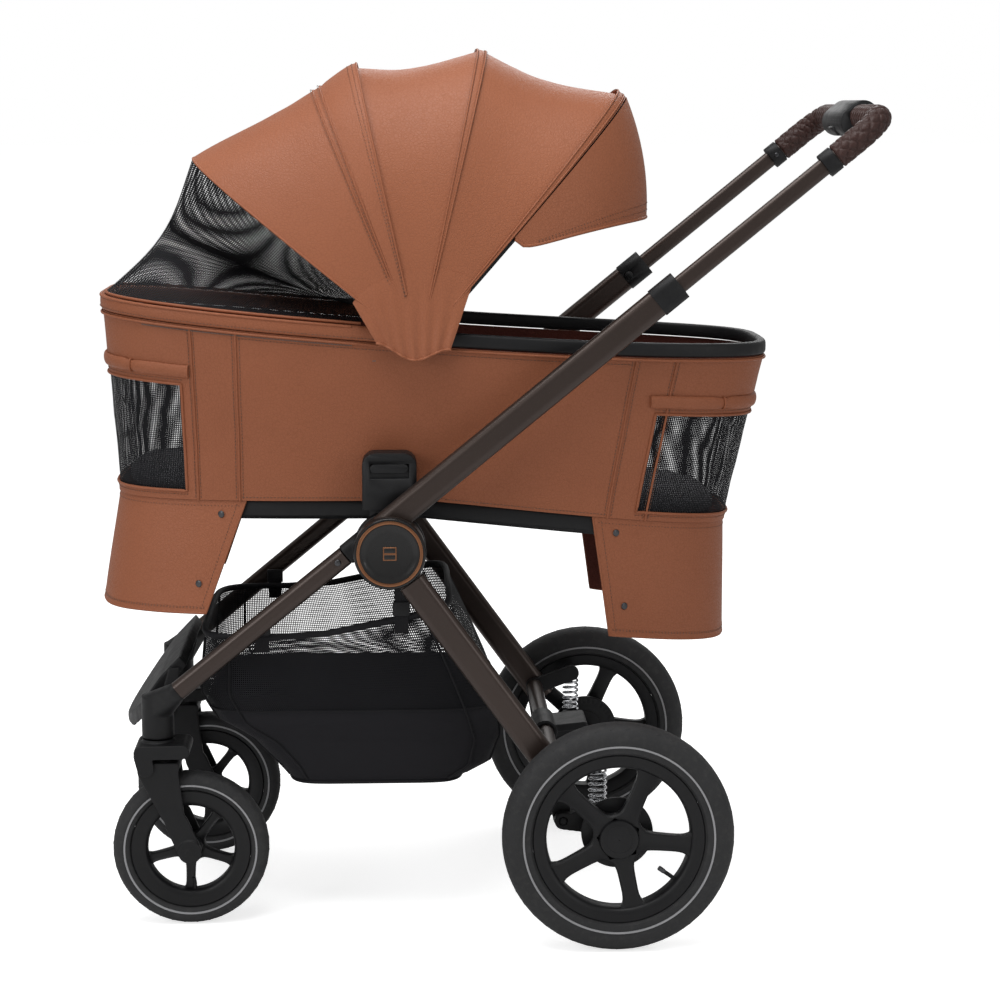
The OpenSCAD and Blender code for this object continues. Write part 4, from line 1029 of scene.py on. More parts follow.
def area_of(rows):
    """Area in square metres of a grid of points in millimetres."""
    total = 0.0
    for a, b in zip(rows, rows[1:]):
        for j in range(len(a) - 1):
            p, q, r, t = Vector(a[j]), Vector(a[j + 1]), Vector(b[j + 1]), Vector(b[j])
            total += ((q - p).cross(r - p).length + (r - p).cross(t - p).length) / 2
    return total * 1e-6


def as_sheet(rows, part=1.0, area=None):
    """Works out the size a sewn panel was cut to; the numbers are not kept."""
    flat_area = (area_of(rows) if area is None else area) * part
    wide = sum((Vector(rows[len(rows) // 2][j + 1]) - Vector(rows[len(rows) // 2][j])).length
               for j in range(len(rows[0]) - 1)) * MM
    long = max(0.011, flat_area / wide * 1.15)
    wide = max(wide, 1.05 * flat_area / long)


def weave_effect():
    """Plain weave on a UV map: threads over and under, as a height and a gap mask."""
    tree, given, out = shared_effect(
        "woven_cloth",
        [("Vector", "NodeSocketVector", None), ("Scale", "NodeSocketFloat", 400.0)],
        [("Height", "NodeSocketFloat"), ("Gap", "NodeSocketFloat")])
    waves = []
    for direction in ("X", "Y"):
        wave = shader_node(tree, "ShaderNodeTexWave", Vector=given.outputs[0], Scale=given.outputs[1], Distortion=0.25)
        wave.bands_direction = direction
        waves.append(wave.outputs["Fac"])
    high = shader_node(tree, "ShaderNodeMath", operation="MAXIMUM", i0=waves[0], i1=waves[1])
    both = shader_node(tree, "ShaderNodeMath", operation="ADD", i0=waves[0], i1=waves[1])
    tree.links.new(both.outputs[0], out.inputs[0])
    tree.links.new(high.outputs[0], out.inputs[1])
    return tree


woven_cloth = weave_effect()


def uv_of(tree, name="cloth"):
    """The piece's own UV map."""
    node = tree.nodes.new("ShaderNodeUVMap")
    node.uv_map = name
    return node.outputs[0]


def net(name, colour, pitch, thick):
    """Knitted net: round threads with open holes between them."""
    material, tree, shader, _, shade = finish(name, 12.0, Roughness=0.75, Specular_IOR_Level=0.2)
    weave = shared(tree, woven_cloth, Vector=uv_of(tree), Scale=0.314 / pitch)
    feed(shader, Base_Color=mix(tree, shade.outputs[0], [c * 0.7 for c in colour], [c * 1.3 for c in colour]))
    open_at = shader_node(tree, "ShaderNodeMath", operation="GREATER_THAN", i0=weave.outputs[1], i1=thick)
    feed(shader, Alpha=open_at.outputs[0])
    relief(tree, shader, weave.outputs[0], 0.6, 0.0003)
    return material


def black_canvas():
    """Tightly woven black polyester; its faint sheen is a painted highlight on the raised threads."""
    material, tree, shader, _, shade = finish("black_woven_polyester", 7.0, Roughness=0.8, Specular_IOR_Level=0.25)
    weave = shared(tree, woven_cloth, Vector=uv_of(tree), Scale=0.314 / 0.0009)
    base = mix(tree, shade.outputs[0], (0.0040, 0.0038, 0.0052), (0.0075, 0.0070, 0.0092))
    # Painted highlight: the weave's raised threads get a lighter colour, as a faint sheen.
    feed(shader, Base_Color=mix(tree, weave.outputs[0], base, (0.011, 0.0105, 0.013)))
    relief(tree, shader, weave.outputs[0], 0.5, 0.0003)
    return material


basket_net = net("basket_net", (0.010, 0.010, 0.012), pitch=0.0026, thick=0.66)
canvas = black_canvas()


def webbing_cloth():
    """Ribbed black binding tape."""
    material, tree, shader, place, shade = finish("black_binding_tape", 20.0, Roughness=0.75, Specular_IOR_Level=0.25)
    rib = shader_node(tree, "ShaderNodeTexWave", Vector=place, Scale=160.0, Distortion=0.4)
    feed(shader, Base_Color=mix(tree, shade.outputs[0], (0.0045, 0.0045, 0.0055), (0.010, 0.0095, 0.0115)))
    relief(tree, shader, rib.outputs[1], 0.5, 0.0004)
    return material


tape = webbing_cloth()
BASKET = [(-258, -36, 150, 180), (-276, 4, 155, 202), (-310, 18, 160, 236), (-354, 16, 165, 262), (-376, 2, 167, 300)]


def basket_top(x):
    """Height of the basket's top edge, which climbs towards the rear."""
    return 377 + max(0.0, x + 230) * 0.2


def basket_point(h, t, off):
    """Point on the basket's wall: h from 0 at the floor to 5 at the top edge."""
    k = min(4, int(h))
    f = h - k
    low = BASKET[k]
    bulge = 1.6 * noise.noise(Vector((cos(radians(t)) * 3, sin(radians(t)) * 3, h * 1.2)))
    if k < 4:
        high = BASKET[k + 1]
        x0, x1, half, z = (a + (b - a) * f for a, b in zip(low, high))
    else:
        x0, x1, half, z = (a + (b - a) * f for a, b in zip(low, (-368, -50, 170, 0)))
    x, y = squircle(x0 - off, x1 + off, half + off, 7, t)
    if k == 4:
        z = low[3] + (basket_top(x) - low[3]) * f
    slack = bulge * sin(pi * h / 5) - 0.6
    n = Vector((x - (x0 + x1) / 2, y, 0)).normalized()
    return Vector((x, y, z)) + n * slack


PANEL_SEAM = 3.45
turns = [360 * j / 180 for j in range(180)]


def basket_band(name, low, high, steps, thick, material):
    """One band of the basket's wall, all the way round."""
    levels = np.linspace(low, high, steps)
    rows = [[basket_point(h, t, 0) for t in turns] for h in levels]
    inner = [[basket_point(h, t, -thick) for t in turns] for h in levels]
    band = shell(name, rows, inner, material, "front_frame", closed=True)
    as_sheet([row + row[:1] for row in rows])
    return band


lower_panel = basket_band("basket_lower_panel", 0, PANEL_SEAM, 24, 1.2, canvas)
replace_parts(lower_panel, "basket")
net_panel = basket_band("basket_net_panel", PANEL_SEAM, 4.97, 16, 0.7, basket_net)
floor_rows = []
for f in np.linspace(-1, 1, 20):
    row = []
    for j in range(31):
        t = 180 * j / 30
        x, y = squircle(-257, -37, 149, 7, t)
        row.append(Vector((x, y * f, 181.4 + 0.8 * noise.noise(Vector((x * 0.02, y * f * 0.02, 3))))))
    floor_rows.append(row)
board = shell("basket_floor", floor_rows, [[p + Vector((0, 0, 2.2)) for p in row] for row in floor_rows], canvas,
              "front_frame")
as_sheet(floor_rows)
for label, h, off, radius, sides in (("elastic_edge", 5, 0, 4.2, 12), ("seam_tape", PANEL_SEAM, 0.6, 1.2, 8),
                                     ("floor_piping", 0.05, 0.9, 2.0, 8)):
    tube_along(f"basket_{label}", [basket_point(h, t, off) for t in turns], radius, tape, "front_frame", sides,
               closed=True)
for corner, t in enumerate((24, 66, 114, 156, 204, 246, 294, 336)):
    tube_along(f"basket_corner_seam_{corner}", [basket_point(h, t, 0.8) for h in np.linspace(0.2, 4.9, 24)], 1.7, tape,
               "front_frame", 8)
buckles = []
STRAPS = {"hub": (HUB[0] + 14, 478, 4, [(173.0, -24), (175, -11), (182, -6), (195.5, -5)]),
          "front": (-290, 398, -2, [(172.5, -16), (174.5, -7), (179.5, -3.5), (181.0, -3)])}
for name, s in SIDES:
    for place, (x, high, lift, bends) in STRAPS.items():
        top = basket_top(x)
        hang = [(x, s * 171.5, top - 18), (x, s * 172.0, top + lift)] + [(x, s * y, high + dz) for y, dz in bends]
        tube_along(f"basket_strap_{place}_{name}", hang, 0, tape, "front_frame",
                   shape=[(-9, -0.8), (9, -0.8), (9, 0.8), (-9, 0.8)],
                   ups=[(0, s, 0.001)] * 4 + [(0, s * 0.2, 1)] * 2)
        buckles.append((f"basket_buckle_{place}_{name}", x, s, top))
for label, x, s, top in buckles:
    low, high = sorted((s * 172.6, s * 176.4))
    block(label, [((x - 11, low, top + 4), (x + 11, high, top + 22))], black_nylon, "front_frame", 1.2)

# Cot: a tub of leather-like coated cloth over board, seamed at each end of
# its sides, with knitted windows, rolled window flaps and a padded rim.
tan = leather("cognac_leatherette", (0.255, 0.082, 0.036), (0.285, 0.094, 0.043), rough=0.46, scale=620.0,
              depth=0.00045)
lining = leather("dark_red_lining", (0.075, 0.016, 0.010), (0.11, 0.024, 0.015), rough=0.7, scale=900.0, depth=0.0004)
window_net = net("window_net", (0.010, 0.010, 0.012), pitch=0.0026, thick=0.70)


def floor_z(x):
    """Height of the cot's floor, level in front and falling a little to the rear."""
    return 551.0 - 0.11 * max(0.0, x + 80)


def rim_z(x):
    """Height of the cot's rim."""
    return 762 - 0.065 * x + 0.00005 * x * x


def cot_plan(v, off, t):
    """Plan point of the cot at level v, from 0 at its floor to 1 at its rim."""
    return squircle(-481 - 16 * v - off, 315 + 49 * v + off, 165 + 13 * v + off, 3.5, t)


def cot_point(v, off, t, dz=0.0):
    """Point on the cot's wall."""
    x, y = cot_plan(v, off, t)
    return Vector((x, y, floor_z(x) + v * (rim_z(x) - 20 - floor_z(x)) + dz))


def soft_wall(v, off, t):
    """Cot wall with the slight waves of cloth over board."""
    p = cot_point(v, off, t)
    wave = 1.3 * noise.noise(p * 0.016) + 0.5 * noise.noise(p * 0.045 + Vector((7, 3, 1)))
    return cot_point(v, off + (wave - 0.9) * sin(pi * v) ** 0.5, t)


OPEN_LOW, OPEN_HIGH = 0.05, 0.66
WINDOWS = {"front": (180, 52.5), "rear": (0, 60)}
COT_STEP = 4.4
levels = ([0.0, OPEN_LOW] + list(np.linspace(OPEN_LOW, OPEN_HIGH, 15)[1:])
          + list(np.linspace(OPEN_HIGH, 1.0, 9)[1:]))
turns = [1.5 * j for j in range(240)]


def outside_windows(i, j):
    """Keeps the wall's faces, and leaves the two windows open."""
    v, t = (levels[i] + levels[i + 1]) / 2, (turns[j] + 0.75) % 360
    in_turn = any(min(abs(t - middle), 360 - abs(t - middle)) < half for middle, half in WINDOWS.values())
    return not (OPEN_LOW < v < OPEN_HIGH and in_turn)


def wall_rows(off):
    """Rows of points round the whole wall at a distance from its face."""
    return [[soft_wall(v, off, t) for t in turns] for v in levels]


rows = wall_rows(0)
wall = shell("cot_wall", rows, wall_rows(-3.5), tan, "cot", closed=True, keep=outside_windows)
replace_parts(wall, "cot_body")
open_area = 0.0
for middle, half in WINDOWS.values():
    open_area += area_of([[soft_wall(v, 0, middle - half + 2 * half * k / 60) for k in range(61)]
                          for v in np.linspace(OPEN_LOW, OPEN_HIGH, 12)])
whole = area_of([row + row[:1] for row in rows])
as_sheet([row + row[:1] for row in rows], area=whole - open_area)

liner_rows = wall_rows(-3.8)
liner = shell("cot_lining", liner_rows, wall_rows(-4.8), lining, "cot", closed=True, keep=outside_windows)
as_sheet([row + row[:1] for row in liner_rows], area=(whole - open_area) * 0.985)

board_rows = []
for f in np.linspace(-1, 1, 24):
    row = []
    for j in range(61):
        x, y = cot_plan(0, -2, 180 * j / 60)
        row.append(Vector((x, y * f, floor_z(x) + 0.2)))
    board_rows.append(row)
board = shell("cot_floor_board", board_rows, [[p + Vector((0, 0, 3)) for p in r] for r in board_rows], lining, "cot")


# End windows: knitted black net let into the wall at both ends of the cot, with
# leatherette piping round the opening and a sewn row above and below it.


def beside(p):
    """Straight out to the side."""
    return 0, copysign(1, p.y), 0


def away_from(x, widen):
    """Level directions outwards round an end of the cot."""
    return lambda p: Vector((p.x + x, p.y * widen, 0)).normalized()


def window(name, middle, half):
    """A net window: the net, its piping all round and two rows of stitches."""
    ts = [middle - half + 2 * half * k / 90 for k in range(91)]
    vs = list(np.linspace(0.052, 0.658, 20))
    pane = [[soft_wall(v, -1.4, t) for t in ts] for v in vs]
    back = [[soft_wall(v, -2.0, t) for t in ts] for v in vs]
    sheet = shell(f"{name}_net", pane, back, window_net, "cot")
    as_sheet(pane)
    ring = [soft_wall(OPEN_LOW, 0.6, t) for t in ts] + [soft_wall(v, 0.6, ts[-1]) for v in vs[1:]]
    ring += [soft_wall(OPEN_HIGH, 0.6, t) for t in reversed(ts)]
    ring += [soft_wall(v, 0.6, ts[0]) for v in reversed(vs[1:])]
    tube_along(f"{name}_piping", ring, 1.9, tan, "cot", 10, closed=True)
    spots = []
    for v in (0.685, 0.03):
        spots += sewn([soft_wall(v, 0.35, t) for t in ts], COT_STEP, away_from(70, 2.2))
    repeat(f"{name}_stitches", stitch, spots, brown_thread, "cot")
    return sheet


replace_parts(window("front_window", *WINDOWS["front"]), "cot_windows")
window("rear_window", *WINDOWS["rear"])


# Window flaps: leatherette blinds, rolled up above the windows and held by
# three narrow ties each.


def rolled_flap(name, middle, half, v, radius):
    """The window's flap, rolled up and tied above it."""
    count, sides, points, up = 80, 22, [], Vector((0, 0, 1))
    path = [cot_point(v, 0.6, middle - half + 2 * half * k / count) for k in range(count + 1)]

    def level_out(p, way):
        out = Vector((way.y, -way.x, 0)).normalized()
        return -out if out.dot(Vector((p.x + 70, p.y, 0))) < 0 else out

    for i, p in enumerate(path):
        out = level_out(p, (path[min(i + 1, count)] - path[max(i - 1, 0)]).normalized())
        squeeze = 1.0 - 0.28 * sum(exp(-((i - c * count) / 1.6) ** 2) for c in (0.2, 0.5, 0.8))
        for k in range(sides):
            a = 2 * pi * k / sides
            curl = 1.0 + 0.07 * sin(2 * a + 0.6) + 0.06 * noise.noise(p * 0.05 + Vector((a, 0, 0)))
            r = radius * curl * squeeze
            points.append(p + out * r * 0.42 * cos(a) + up * r * sin(a))
    add_piece(name, points, ring_faces(count + 1, sides), tan, "cot", 60)
    for c, share in enumerate((0.2, 0.5, 0.8)):
        i = int(share * count)
        p = path[i]
        out = level_out(p, (path[i + 1] - p).normalized())
        loop = [p + out * radius * 0.44 * cos(a) + up * radius * 0.86 * sin(a) for a in np.linspace(0, 2 * pi, 25)[:-1]]
        tube_along(f"{name}_tie_{c}", loop, 1.4, tan, "cot", 8, closed=True)


rolled_flap("front_rolled_flap", 180, 55, 0.735, 8.5)
rolled_flap("rear_rolled_flap", 0, 62, 0.735, 8.5)

# Side seams: piped seams down the wall beside the windows, a row of stitches on
# either side of each, and one more row along the top and bottom of the sides.
spots = []
for number, t in enumerate((57, 67, 113, 124, 236, 247, 293, 303)):
    line = [soft_wall(v, 0.4, t) for v in np.linspace(0.0, 0.99, 30)]
    tube_along(f"cot_side_piping_{number}", line, 1.5, tan, "cot", 8)
    for off_t in (-0.8, 0.8):
        spots += sewn([soft_wall(v, 0.35, t + off_t) for v in np.linspace(0.02, 0.97, 30)], COT_STEP, beside)
for v in (0.955, 0.02):
    for low_t, high_t in ((67, 113), (247, 293)):
        spots += sewn([soft_wall(v, 0.35, t) for t in np.linspace(low_t, high_t, 60)], COT_STEP, beside)
repeat("cot_side_stitches", stitch, spots, brown_thread, "cot")

# Rim: a black nylon moulding round the top of the cot. Its front half wears a
# leatherette sleeve closed by a metal zip, and a sewn welt runs under it all.
def rim_piece(name, low_t, high_t, material, grow):
    """One stretch of the rim, with rounded corners."""
    count, sides = int((high_t - low_t) / 1.5), 20
    outline = []
    for k in range(sides):
        a = 2 * pi * k / sides
        outline.append(((7 + grow) * spow(cos(a), 0.55), 10.2 + (9.6 + grow) * spow(sin(a), 0.55)))
    points = [cot_point(1, off - 4, low_t + (high_t - low_t) * i / count, dz)
              for i in range(count + 1) for off, dz in outline]
    piece = add_piece(name, points, ring_faces(count + 1, sides), material, "cot", 60)
    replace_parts(piece, "cot_rim")


rim_piece("rim_sleeve", 91, 269, tan, 0.0)
rim_piece("rim_moulding", -91.5, 91.5, black_nylon, -0.7)
tube_along("rim_welt", [cot_point(0.985, 1.6, t) for t in turns], 1.7, tan, "cot", 8, closed=True)
tube_along("rim_top_piping", [cot_point(1, 2.2, t, 18.2) for t in np.linspace(95, 265, 120)], 1.7, tan, "cot", 8)
rim_line = [cot_point(1, 3.2, t, 4.5) for t in np.linspace(93, 267, 140)]
repeat("rim_stitches", stitch, sewn(rim_line, COT_STEP, away_from(70, 2.2)), brown_thread, "cot")
PIVOT = (-90.0, 748.0)
zip_metal = plated("zip_metal", (0.12, 0.10, 0.09), (0.25, 0.22, 0.20), 0.35)
teeth_shape = block("zip_tooth_shape", [((-0.55, -0.7, 0.0), (0.55, 0.7, 0.7))], zip_metal, None, 0.0, 1)
spots = []
for s in (-1, 1):
    spots += sewn([cot_point(0.972, 0.7, t) for t in np.linspace(180 - s * 85, 180 - s * 40, 80)], 1.9, beside)
repeat("rim_zip_teeth", teeth_shape, spots, zip_metal, "cot")
for name, s in SIDES:
    at = cot_point(0.972, 1.0, 180 + s * 87)
    pull = [at + Vector(step) for step in ((0, s * 2, 0), (1, s * 3, -9), (1.5, s * 3, -18))]
    tube_along(f"rim_zip_pull_{name}", pull, 0, zip_metal, "cot",
               shape=[(-2.2, -0.6), (2.2, -0.6), (2.2, 0.6), (-2.2, 0.6)])
    turned(f"canopy_pivot_cap_{name}", [(0.1, 178.3), (13, 178.3), (13.8, 178.9), (14, 180.5), (12.5, 181.3),
                                        (0.1, 181.3)], PIVOT, s, black_nylon, "cot")
bevelled_from("cot_base", black_nylon, 1.0)


# Skirts: leatherette curtains that hang from the cot's floor round both ends and
# hide the frame. Lined, bound round their edges, and held by steel snap studs.
def skirt_at(v, off, t, drop, flare):
    """Point on a hanging skirt, v from 0 at its top to 1 at its hem."""
    x, y = cot_plan(0, off + flare * v, t)
    fold = 1.5 * noise.noise(Vector((x * 0.018, y * 0.018, v * 1.3))) * v - 0.7 * v
    x, y = cot_plan(0, off + flare * v + fold, t)
    return Vector((x, y, floor_z(x) - 0.5 - drop * v))


stud = small_head("stud_shape", 4.6, 1.6, dark_steel, recess=False)


def skirt(name, low_t, high_t, drop, flare, narrow, inside):
    """One skirt with its lining, its binding, stitches and studs."""
    def at(v, f, off):
        return skirt_at(v, off, low_t + narrow * v + (high_t - low_t - 2 * narrow * v) * f, drop, flare)

    def sheet_rows(off):
        return [[at(v, f, off) for f in fs] for v in vs]

    fs, vs = np.linspace(0, 1, 121), np.linspace(0, 1, 26)
    rows = sheet_rows(-1.6)
    cloth = shell(name, rows, sheet_rows(-3.0), tan, "cot")
    as_sheet(rows)
    lined = shell(f"{name}_lining", sheet_rows(-3.1), sheet_rows(-3.8), inside, "cot")
    as_sheet(rows, part=0.985)
    border = [at(v, 0, -2.4) for v in vs] + [at(1, f, -2.4) for f in fs[1:]]
    border += [at(v, 1, -2.4) for v in reversed(vs[:-1])]
    tube_along(f"{name}_binding", border, 1.6, tan, "cot", 8)
    spots = []
    for v in (0.945, 0.955, 0.045):
        spots += sewn([at(v, f, -1.45) for f in fs[1:-1]], COT_STEP, away_from(80, 2))
    for f in (0.012, 0.988):
        spots += sewn([at(v, f, -1.45) for v in vs[1:-1]], COT_STEP, away_from(80, 2))
    repeat(f"{name}_stitches", stitch, spots, brown_thread, "cot")
    places = [at(v, f, -1.5) for f in (0.035, 0.965) for v in (0.12, 0.74)]
    repeat(f"{name}_studs", stud, [(p, away_from(80, 3)(p)) for p in places], dark_steel, "cot")
    return cloth


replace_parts(skirt("front_skirt", 112, 248, drop=141, flare=24, narrow=7, inside=canvas), "cot_skirts")
skirt("rear_skirt", -70, 70, drop=152, flare=2, narrow=3.8, inside=lining)
put_away(stud)


# Mattress: a foam pad in a grey knitted cover, cut to the cot's floor and blown
# up a little inside its seams. It lies loose on the floor board.
def knitted_cover():
    """Pale grey knitted cover with small loops."""
    material, tree, shader, place, shade = finish("mattress_knit", 9.0, Roughness=0.9, Sheen_Weight=0.3)
    loops = shader_node(tree, "ShaderNodeTexVoronoi", Vector=place, Scale=500.0)
    base = mix(tree, shade.outputs[0], (0.20, 0.20, 0.21), (0.28, 0.28, 0.29))
    feed(shader, Base_Color=mix(tree, loops.outputs["Distance"], base, (0.10, 0.10, 0.11)))
    relief(tree, shader, loops.outputs["Distance"], 0.6, 0.0006)
    return material


knit = knitted_cover()
PAD_EDGE = ((-22, 6.5), (-13, 8), (-11, 12), (-11, 24), (-13, 28.5), (-22, 30.5))
PAD_SIDES, MOST_SWELL = 96, 0.005
points = [cot_point(0, off, 360 * j / PAD_SIDES, dz) for off, dz in PAD_EDGE for j in range(PAD_SIDES)]
mattress = add_piece("foam_mattress", points, ring_faces(len(PAD_EDGE), PAD_SIDES), knit)
recalculate(mattress.data)
remesh = mattress.modifiers.new("remesh", "REMESH")
remesh.mode, remesh.voxel_size, remesh.use_smooth_shade = "VOXEL", 0.006, True
apply_modifiers(mattress)
before, after = (np.empty(len(mattress.data.vertices) * 3) for _ in range(2))
mattress.data.vertices.foreach_get("co", before)
swell = mattress.modifiers.new("swell", "CLOTH")
swell.settings.use_pressure, swell.settings.uniform_pressure_force = True, 3.0
swell.settings.effector_weights.gravity = 0
swell.settings.quality = 4
for f in range(1, 19):
    bpy.context.scene.frame_set(f)
apply_modifiers(mattress)
bpy.context.scene.frame_set(1)
mattress.data.vertices.foreach_get("co", after)
moved = (after - before).reshape(-1, 3)
length = np.linalg.norm(moved, axis=1, keepdims=True)
moved *= np.minimum(1.0, MOST_SWELL / np.maximum(length, 1e-9))
mattress.data.vertices.foreach_set("co", (before.reshape(-1, 3) + moved).ravel())
mattress.data.materials.clear()
mattress.data.materials.append(knit)
mattress.data.polygons.foreach_set("use_smooth", [True] * len(mattress.data.polygons))
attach(mattress, "cot")
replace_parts(mattress, "mattress")

# Canopy: three panels of the cot's leatherette, in a copy painted lighter for the
# stronger light on the canopy (painted light), lined in dark red, sewn over four
# flat nylon bows. The front two are fixed, and the rear two fold on the pivots.
FRONT, BROW, MIDDLE, REAR = 141.5, 103.5, 77.0, 48.6
FRONT_R, BROW_R, MIDDLE_R, REAR_R = 370, 355, 377, 412
HALF_WIDTH = 198
SEAM_STEP = 4.6
# Painted light: this is the cot's tan leatherette with lighter colours, standing in for the stronger light that falls
# on the canopy.
hood_painted_lighter = leather("cognac_leatherette_hood", (0.285, 0.094, 0.043), (0.32, 0.108, 0.050), rough=0.44, scale=620.0,
               depth=0.00045)
for node in ("bows_front", "bow_middle", "bow_rear"):
    coat_node(node, black_nylon)


def arch(angle, r, w, t):
    """Point on a bow: angle about the pivot, radius at the crown, half width, and t round it."""
    u = r * spow(sin(radians(t)), 0.8) if 0 < t < 180 else 0.0
    return Vector((PIVOT[0] + u * cos(radians(angle)), w * spow(cos(radians(t)), 0.8),
                   PIVOT[1] + u * sin(radians(angle))))


def canopy_grid(a, b, sag, off):
    """Grid of points on the cloth between two bows, drawn in and gently creased."""
    rows, around, along, t0 = [], 110, 26, 5.0
    for k in range(along + 1):
        f = k / along
        angle, r = a[0] + (b[0] - a[0]) * f, a[1] + (b[1] - a[1]) * f
        row = []
        for i in range(around + 1):
            t = t0 + (180 - 2 * t0) * i / around
            low = 1 - sin(radians(t))
            crease = sin(pi * f) * (
                1.6 * noise.noise(Vector((angle * 0.10, t * 0.035, 4.0)))
                + 2.6 * low ** 2 * sin(angle * 0.55 + 2.2 * noise.noise(Vector((t * 0.05, angle * 0.05, 1)))))
            row.append(arch(angle, r - sag * sin(pi * f) - off - abs(crease) * 0.9,
                            HALF_WIDTH - off - 0.3, t))
        rows.append(row)
    return rows


def panel(name, a, b, sag, node, body=None):
    """One canopy panel: its cloth and its lining face."""
    rows = canopy_grid(a, b, sag, 0.0)
    cloth = shell(name, rows, canopy_grid(a, b, sag, 1.3), hood_painted_lighter, body)
    as_sheet(rows)
    lined = shell(f"{name}_lining", canopy_grid(a, b, sag, 1.5), canopy_grid(a, b, sag, 2.4), lining, body)
    as_sheet(rows, part=0.99)
    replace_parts(cloth, node)
    return cloth, lined


def off_pivot(p):
    """Outwards from the canopy's pivot line."""
    return Vector((p.x - PIVOT[0], p.y * 1.3, p.z - PIVOT[1] + 30)).normalized()


def bow_seam(name, angle, r, body, width=11.0):
    """Raised casing over a bow with piping and four rows of stitches."""
    ts = np.linspace(6, 174, 110)
    step = degrees(width / r)
    rows = []
    for k in range(7):
        f = k / 6 - 0.5
        lift = 0.8 * max(0.0, cos(pi * f)) ** 0.5 - 0.4
        rows.append([arch(angle + step * f, r + lift, 198.6, t) for t in ts])
    under = [[arch(angle + step * (k / 6 - 0.5), r - 0.9, 197.3, t) for t in ts] for k in range(7)]
    casing = shell(f"{name}_casing", rows, under, hood_painted_lighter, body)
    as_sheet(rows)
    for label, side in (("front", 0.5), ("back", -0.5)):
        line = [arch(angle + step * side, r + 0.4, 198.6, t) for t in ts]
        tube_along(f"{name}_piping_{label}", line, 1.2, hood_painted_lighter, body, 8)
    spots = []
    for side in (0.36, -0.36, 0.66, -0.66):
        line = [arch(angle + step * side, r + (0.9 if abs(side) < 0.5 else 0.35), 198.5, t) for t in ts]
        spots += sewn(line, SEAM_STEP, off_pivot)
    repeat(f"{name}_stitches", stitch, spots, brown_thread, body)


FRONT_SPAN = ((FRONT - 0.15, FRONT_R), (BROW + 0.15, BROW_R), 22)
panel("canopy_front_panel", *FRONT_SPAN, "canopy_front", "cot")
for cloth in panel("canopy_middle_panel", (BROW - 0.15, BROW_R), (MIDDLE + 0.15, MIDDLE_R), 20, "canopy_middle"):
    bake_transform(cloth)
for cloth in panel("canopy_rear_panel", (MIDDLE - 0.15, MIDDLE_R), (REAR + 0.15, REAR_R), 24, "canopy_rear"):
    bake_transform(cloth)
bow_seam("middle_seam", MIDDLE, 377.6, "canopy_middle_bow")
bow_seam("rear_seam", REAR + 1.2, 411.4, "canopy_rear_bow", 9.0)


# Brow flap and front seams: a loose strip of the cloth over the second bow, sewn
# down along its front edge, and two piped seams across the front panel.


def overlap_flap(name, start, width, body):
    """A loose strip of cloth over the brow bow, sewn along its front edge and free behind."""
    ts = np.linspace(7, 173, 110)
    rows, back = [], []
    for k in range(9):
        f = k / 8
        raised = 0.3 + 5.2 * f ** 0.7
        row, under = [], []
        for t in ts:
            wave = 0.7 * noise.noise(Vector((t * 0.06, f * 2, 5))) * f
            angle = start - width * f
            share = min(1.0, (FRONT - angle) / (FRONT - BROW))
            r = FRONT_R - 15 * share - 22 * sin(pi * share) + raised + wave
            row.append(arch(angle, r, 198.3 + 1.2 * f, t))
            under.append(arch(angle, r - 1.1, 197.3 + 1.2 * f, t))
        rows.append(row)
        back.append(under)
    flap = shell(name, rows, back, hood_painted_lighter, body)
    as_sheet(rows)
    tube_along(f"{name}_hem", rows[-1], 1.3, hood_painted_lighter, body, 8)
    spots = sewn(rows[6], SEAM_STEP, off_pivot, 0.35) + sewn(rows[7], SEAM_STEP, off_pivot, 0.35)
    repeat(f"{name}_stitches", stitch, spots, brown_thread, body)


overlap_flap("brow_flap", 110.4, 8.0, "cot")
front_rows = canopy_grid(*FRONT_SPAN, 0.0)
for label, share in (("a", 0.755), ("b", 0.80)):
    k = share * (len(front_rows) - 1)
    below, above = front_rows[int(k)], front_rows[int(k) + 1]
    line = [p.lerp(q, k - int(k)) for p, q in zip(below, above)][2:-2]
    tube_along(f"front_panel_seam_{label}", [p + Vector((0, 0, 0.5)) for p in line], 1.2, hood_painted_lighter, "cot", 8)
    spots = [(at + Vector((-3.0, 0, 0.9)), out, way) for at, out, way in sewn(line, SEAM_STEP, off_pivot, 0.5)]
    repeat(f"front_panel_stitches_{label}", stitch, spots, brown_thread, "cot")
tube_along("canopy_front_edge", [arch(FRONT, 369.4, HALF_WIDTH, t) for t in np.linspace(5, 175, 130)], 1.5,
           hood_painted_lighter, "cot", 10)

# Canopy net: one stretched panel of open black net that closes the front of the
# cot, from the first bow down to the rim, on a leatherette tape.
mesh_net = net("canopy_net", (0.014, 0.014, 0.016), pitch=0.0027, thick=0.73)


def net_grid(off):
    """Ruled surface from the first bow down to the rim."""
    rows, count, along = [], 120, 30
    heart = Vector((-240, 0, 728))
    for k in range(along + 1):
        f = k / along
        row = []
        for i in range(count + 1):
            t = 6 + 168 * i / count
            x, y = cot_plan(1, -4, 88 + 184 * t / 180)
            low = Vector((x, -y, rim_z(x) + 1.5))
            high = arch(FRONT + 0.15, FRONT_R, HALF_WIDTH, t)
            p = low.lerp(high, f)
            hollow = sin(pi * f) * (2.0 + 17.0 * sin(radians(t)) ** 6)
            row.append(p + (heart - p).normalized() * (off + hollow))
        rows.append(row)
    return rows


rows = net_grid(0.4)
canopy_net = shell("canopy_net_panel", rows, net_grid(1.0), mesh_net, "cot")
as_sheet(rows)
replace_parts(canopy_net, "canopy_mesh")
tube_along("canopy_net_lower_tape", [p + Vector((0, 0, 1.2)) for p in rows[0]], 2.0, tan, "cot", 8)


# Visor: a short brim of the canopy's cloth behind the rear bow, lined, with a
# bound edge and two rows of stitches beside it.


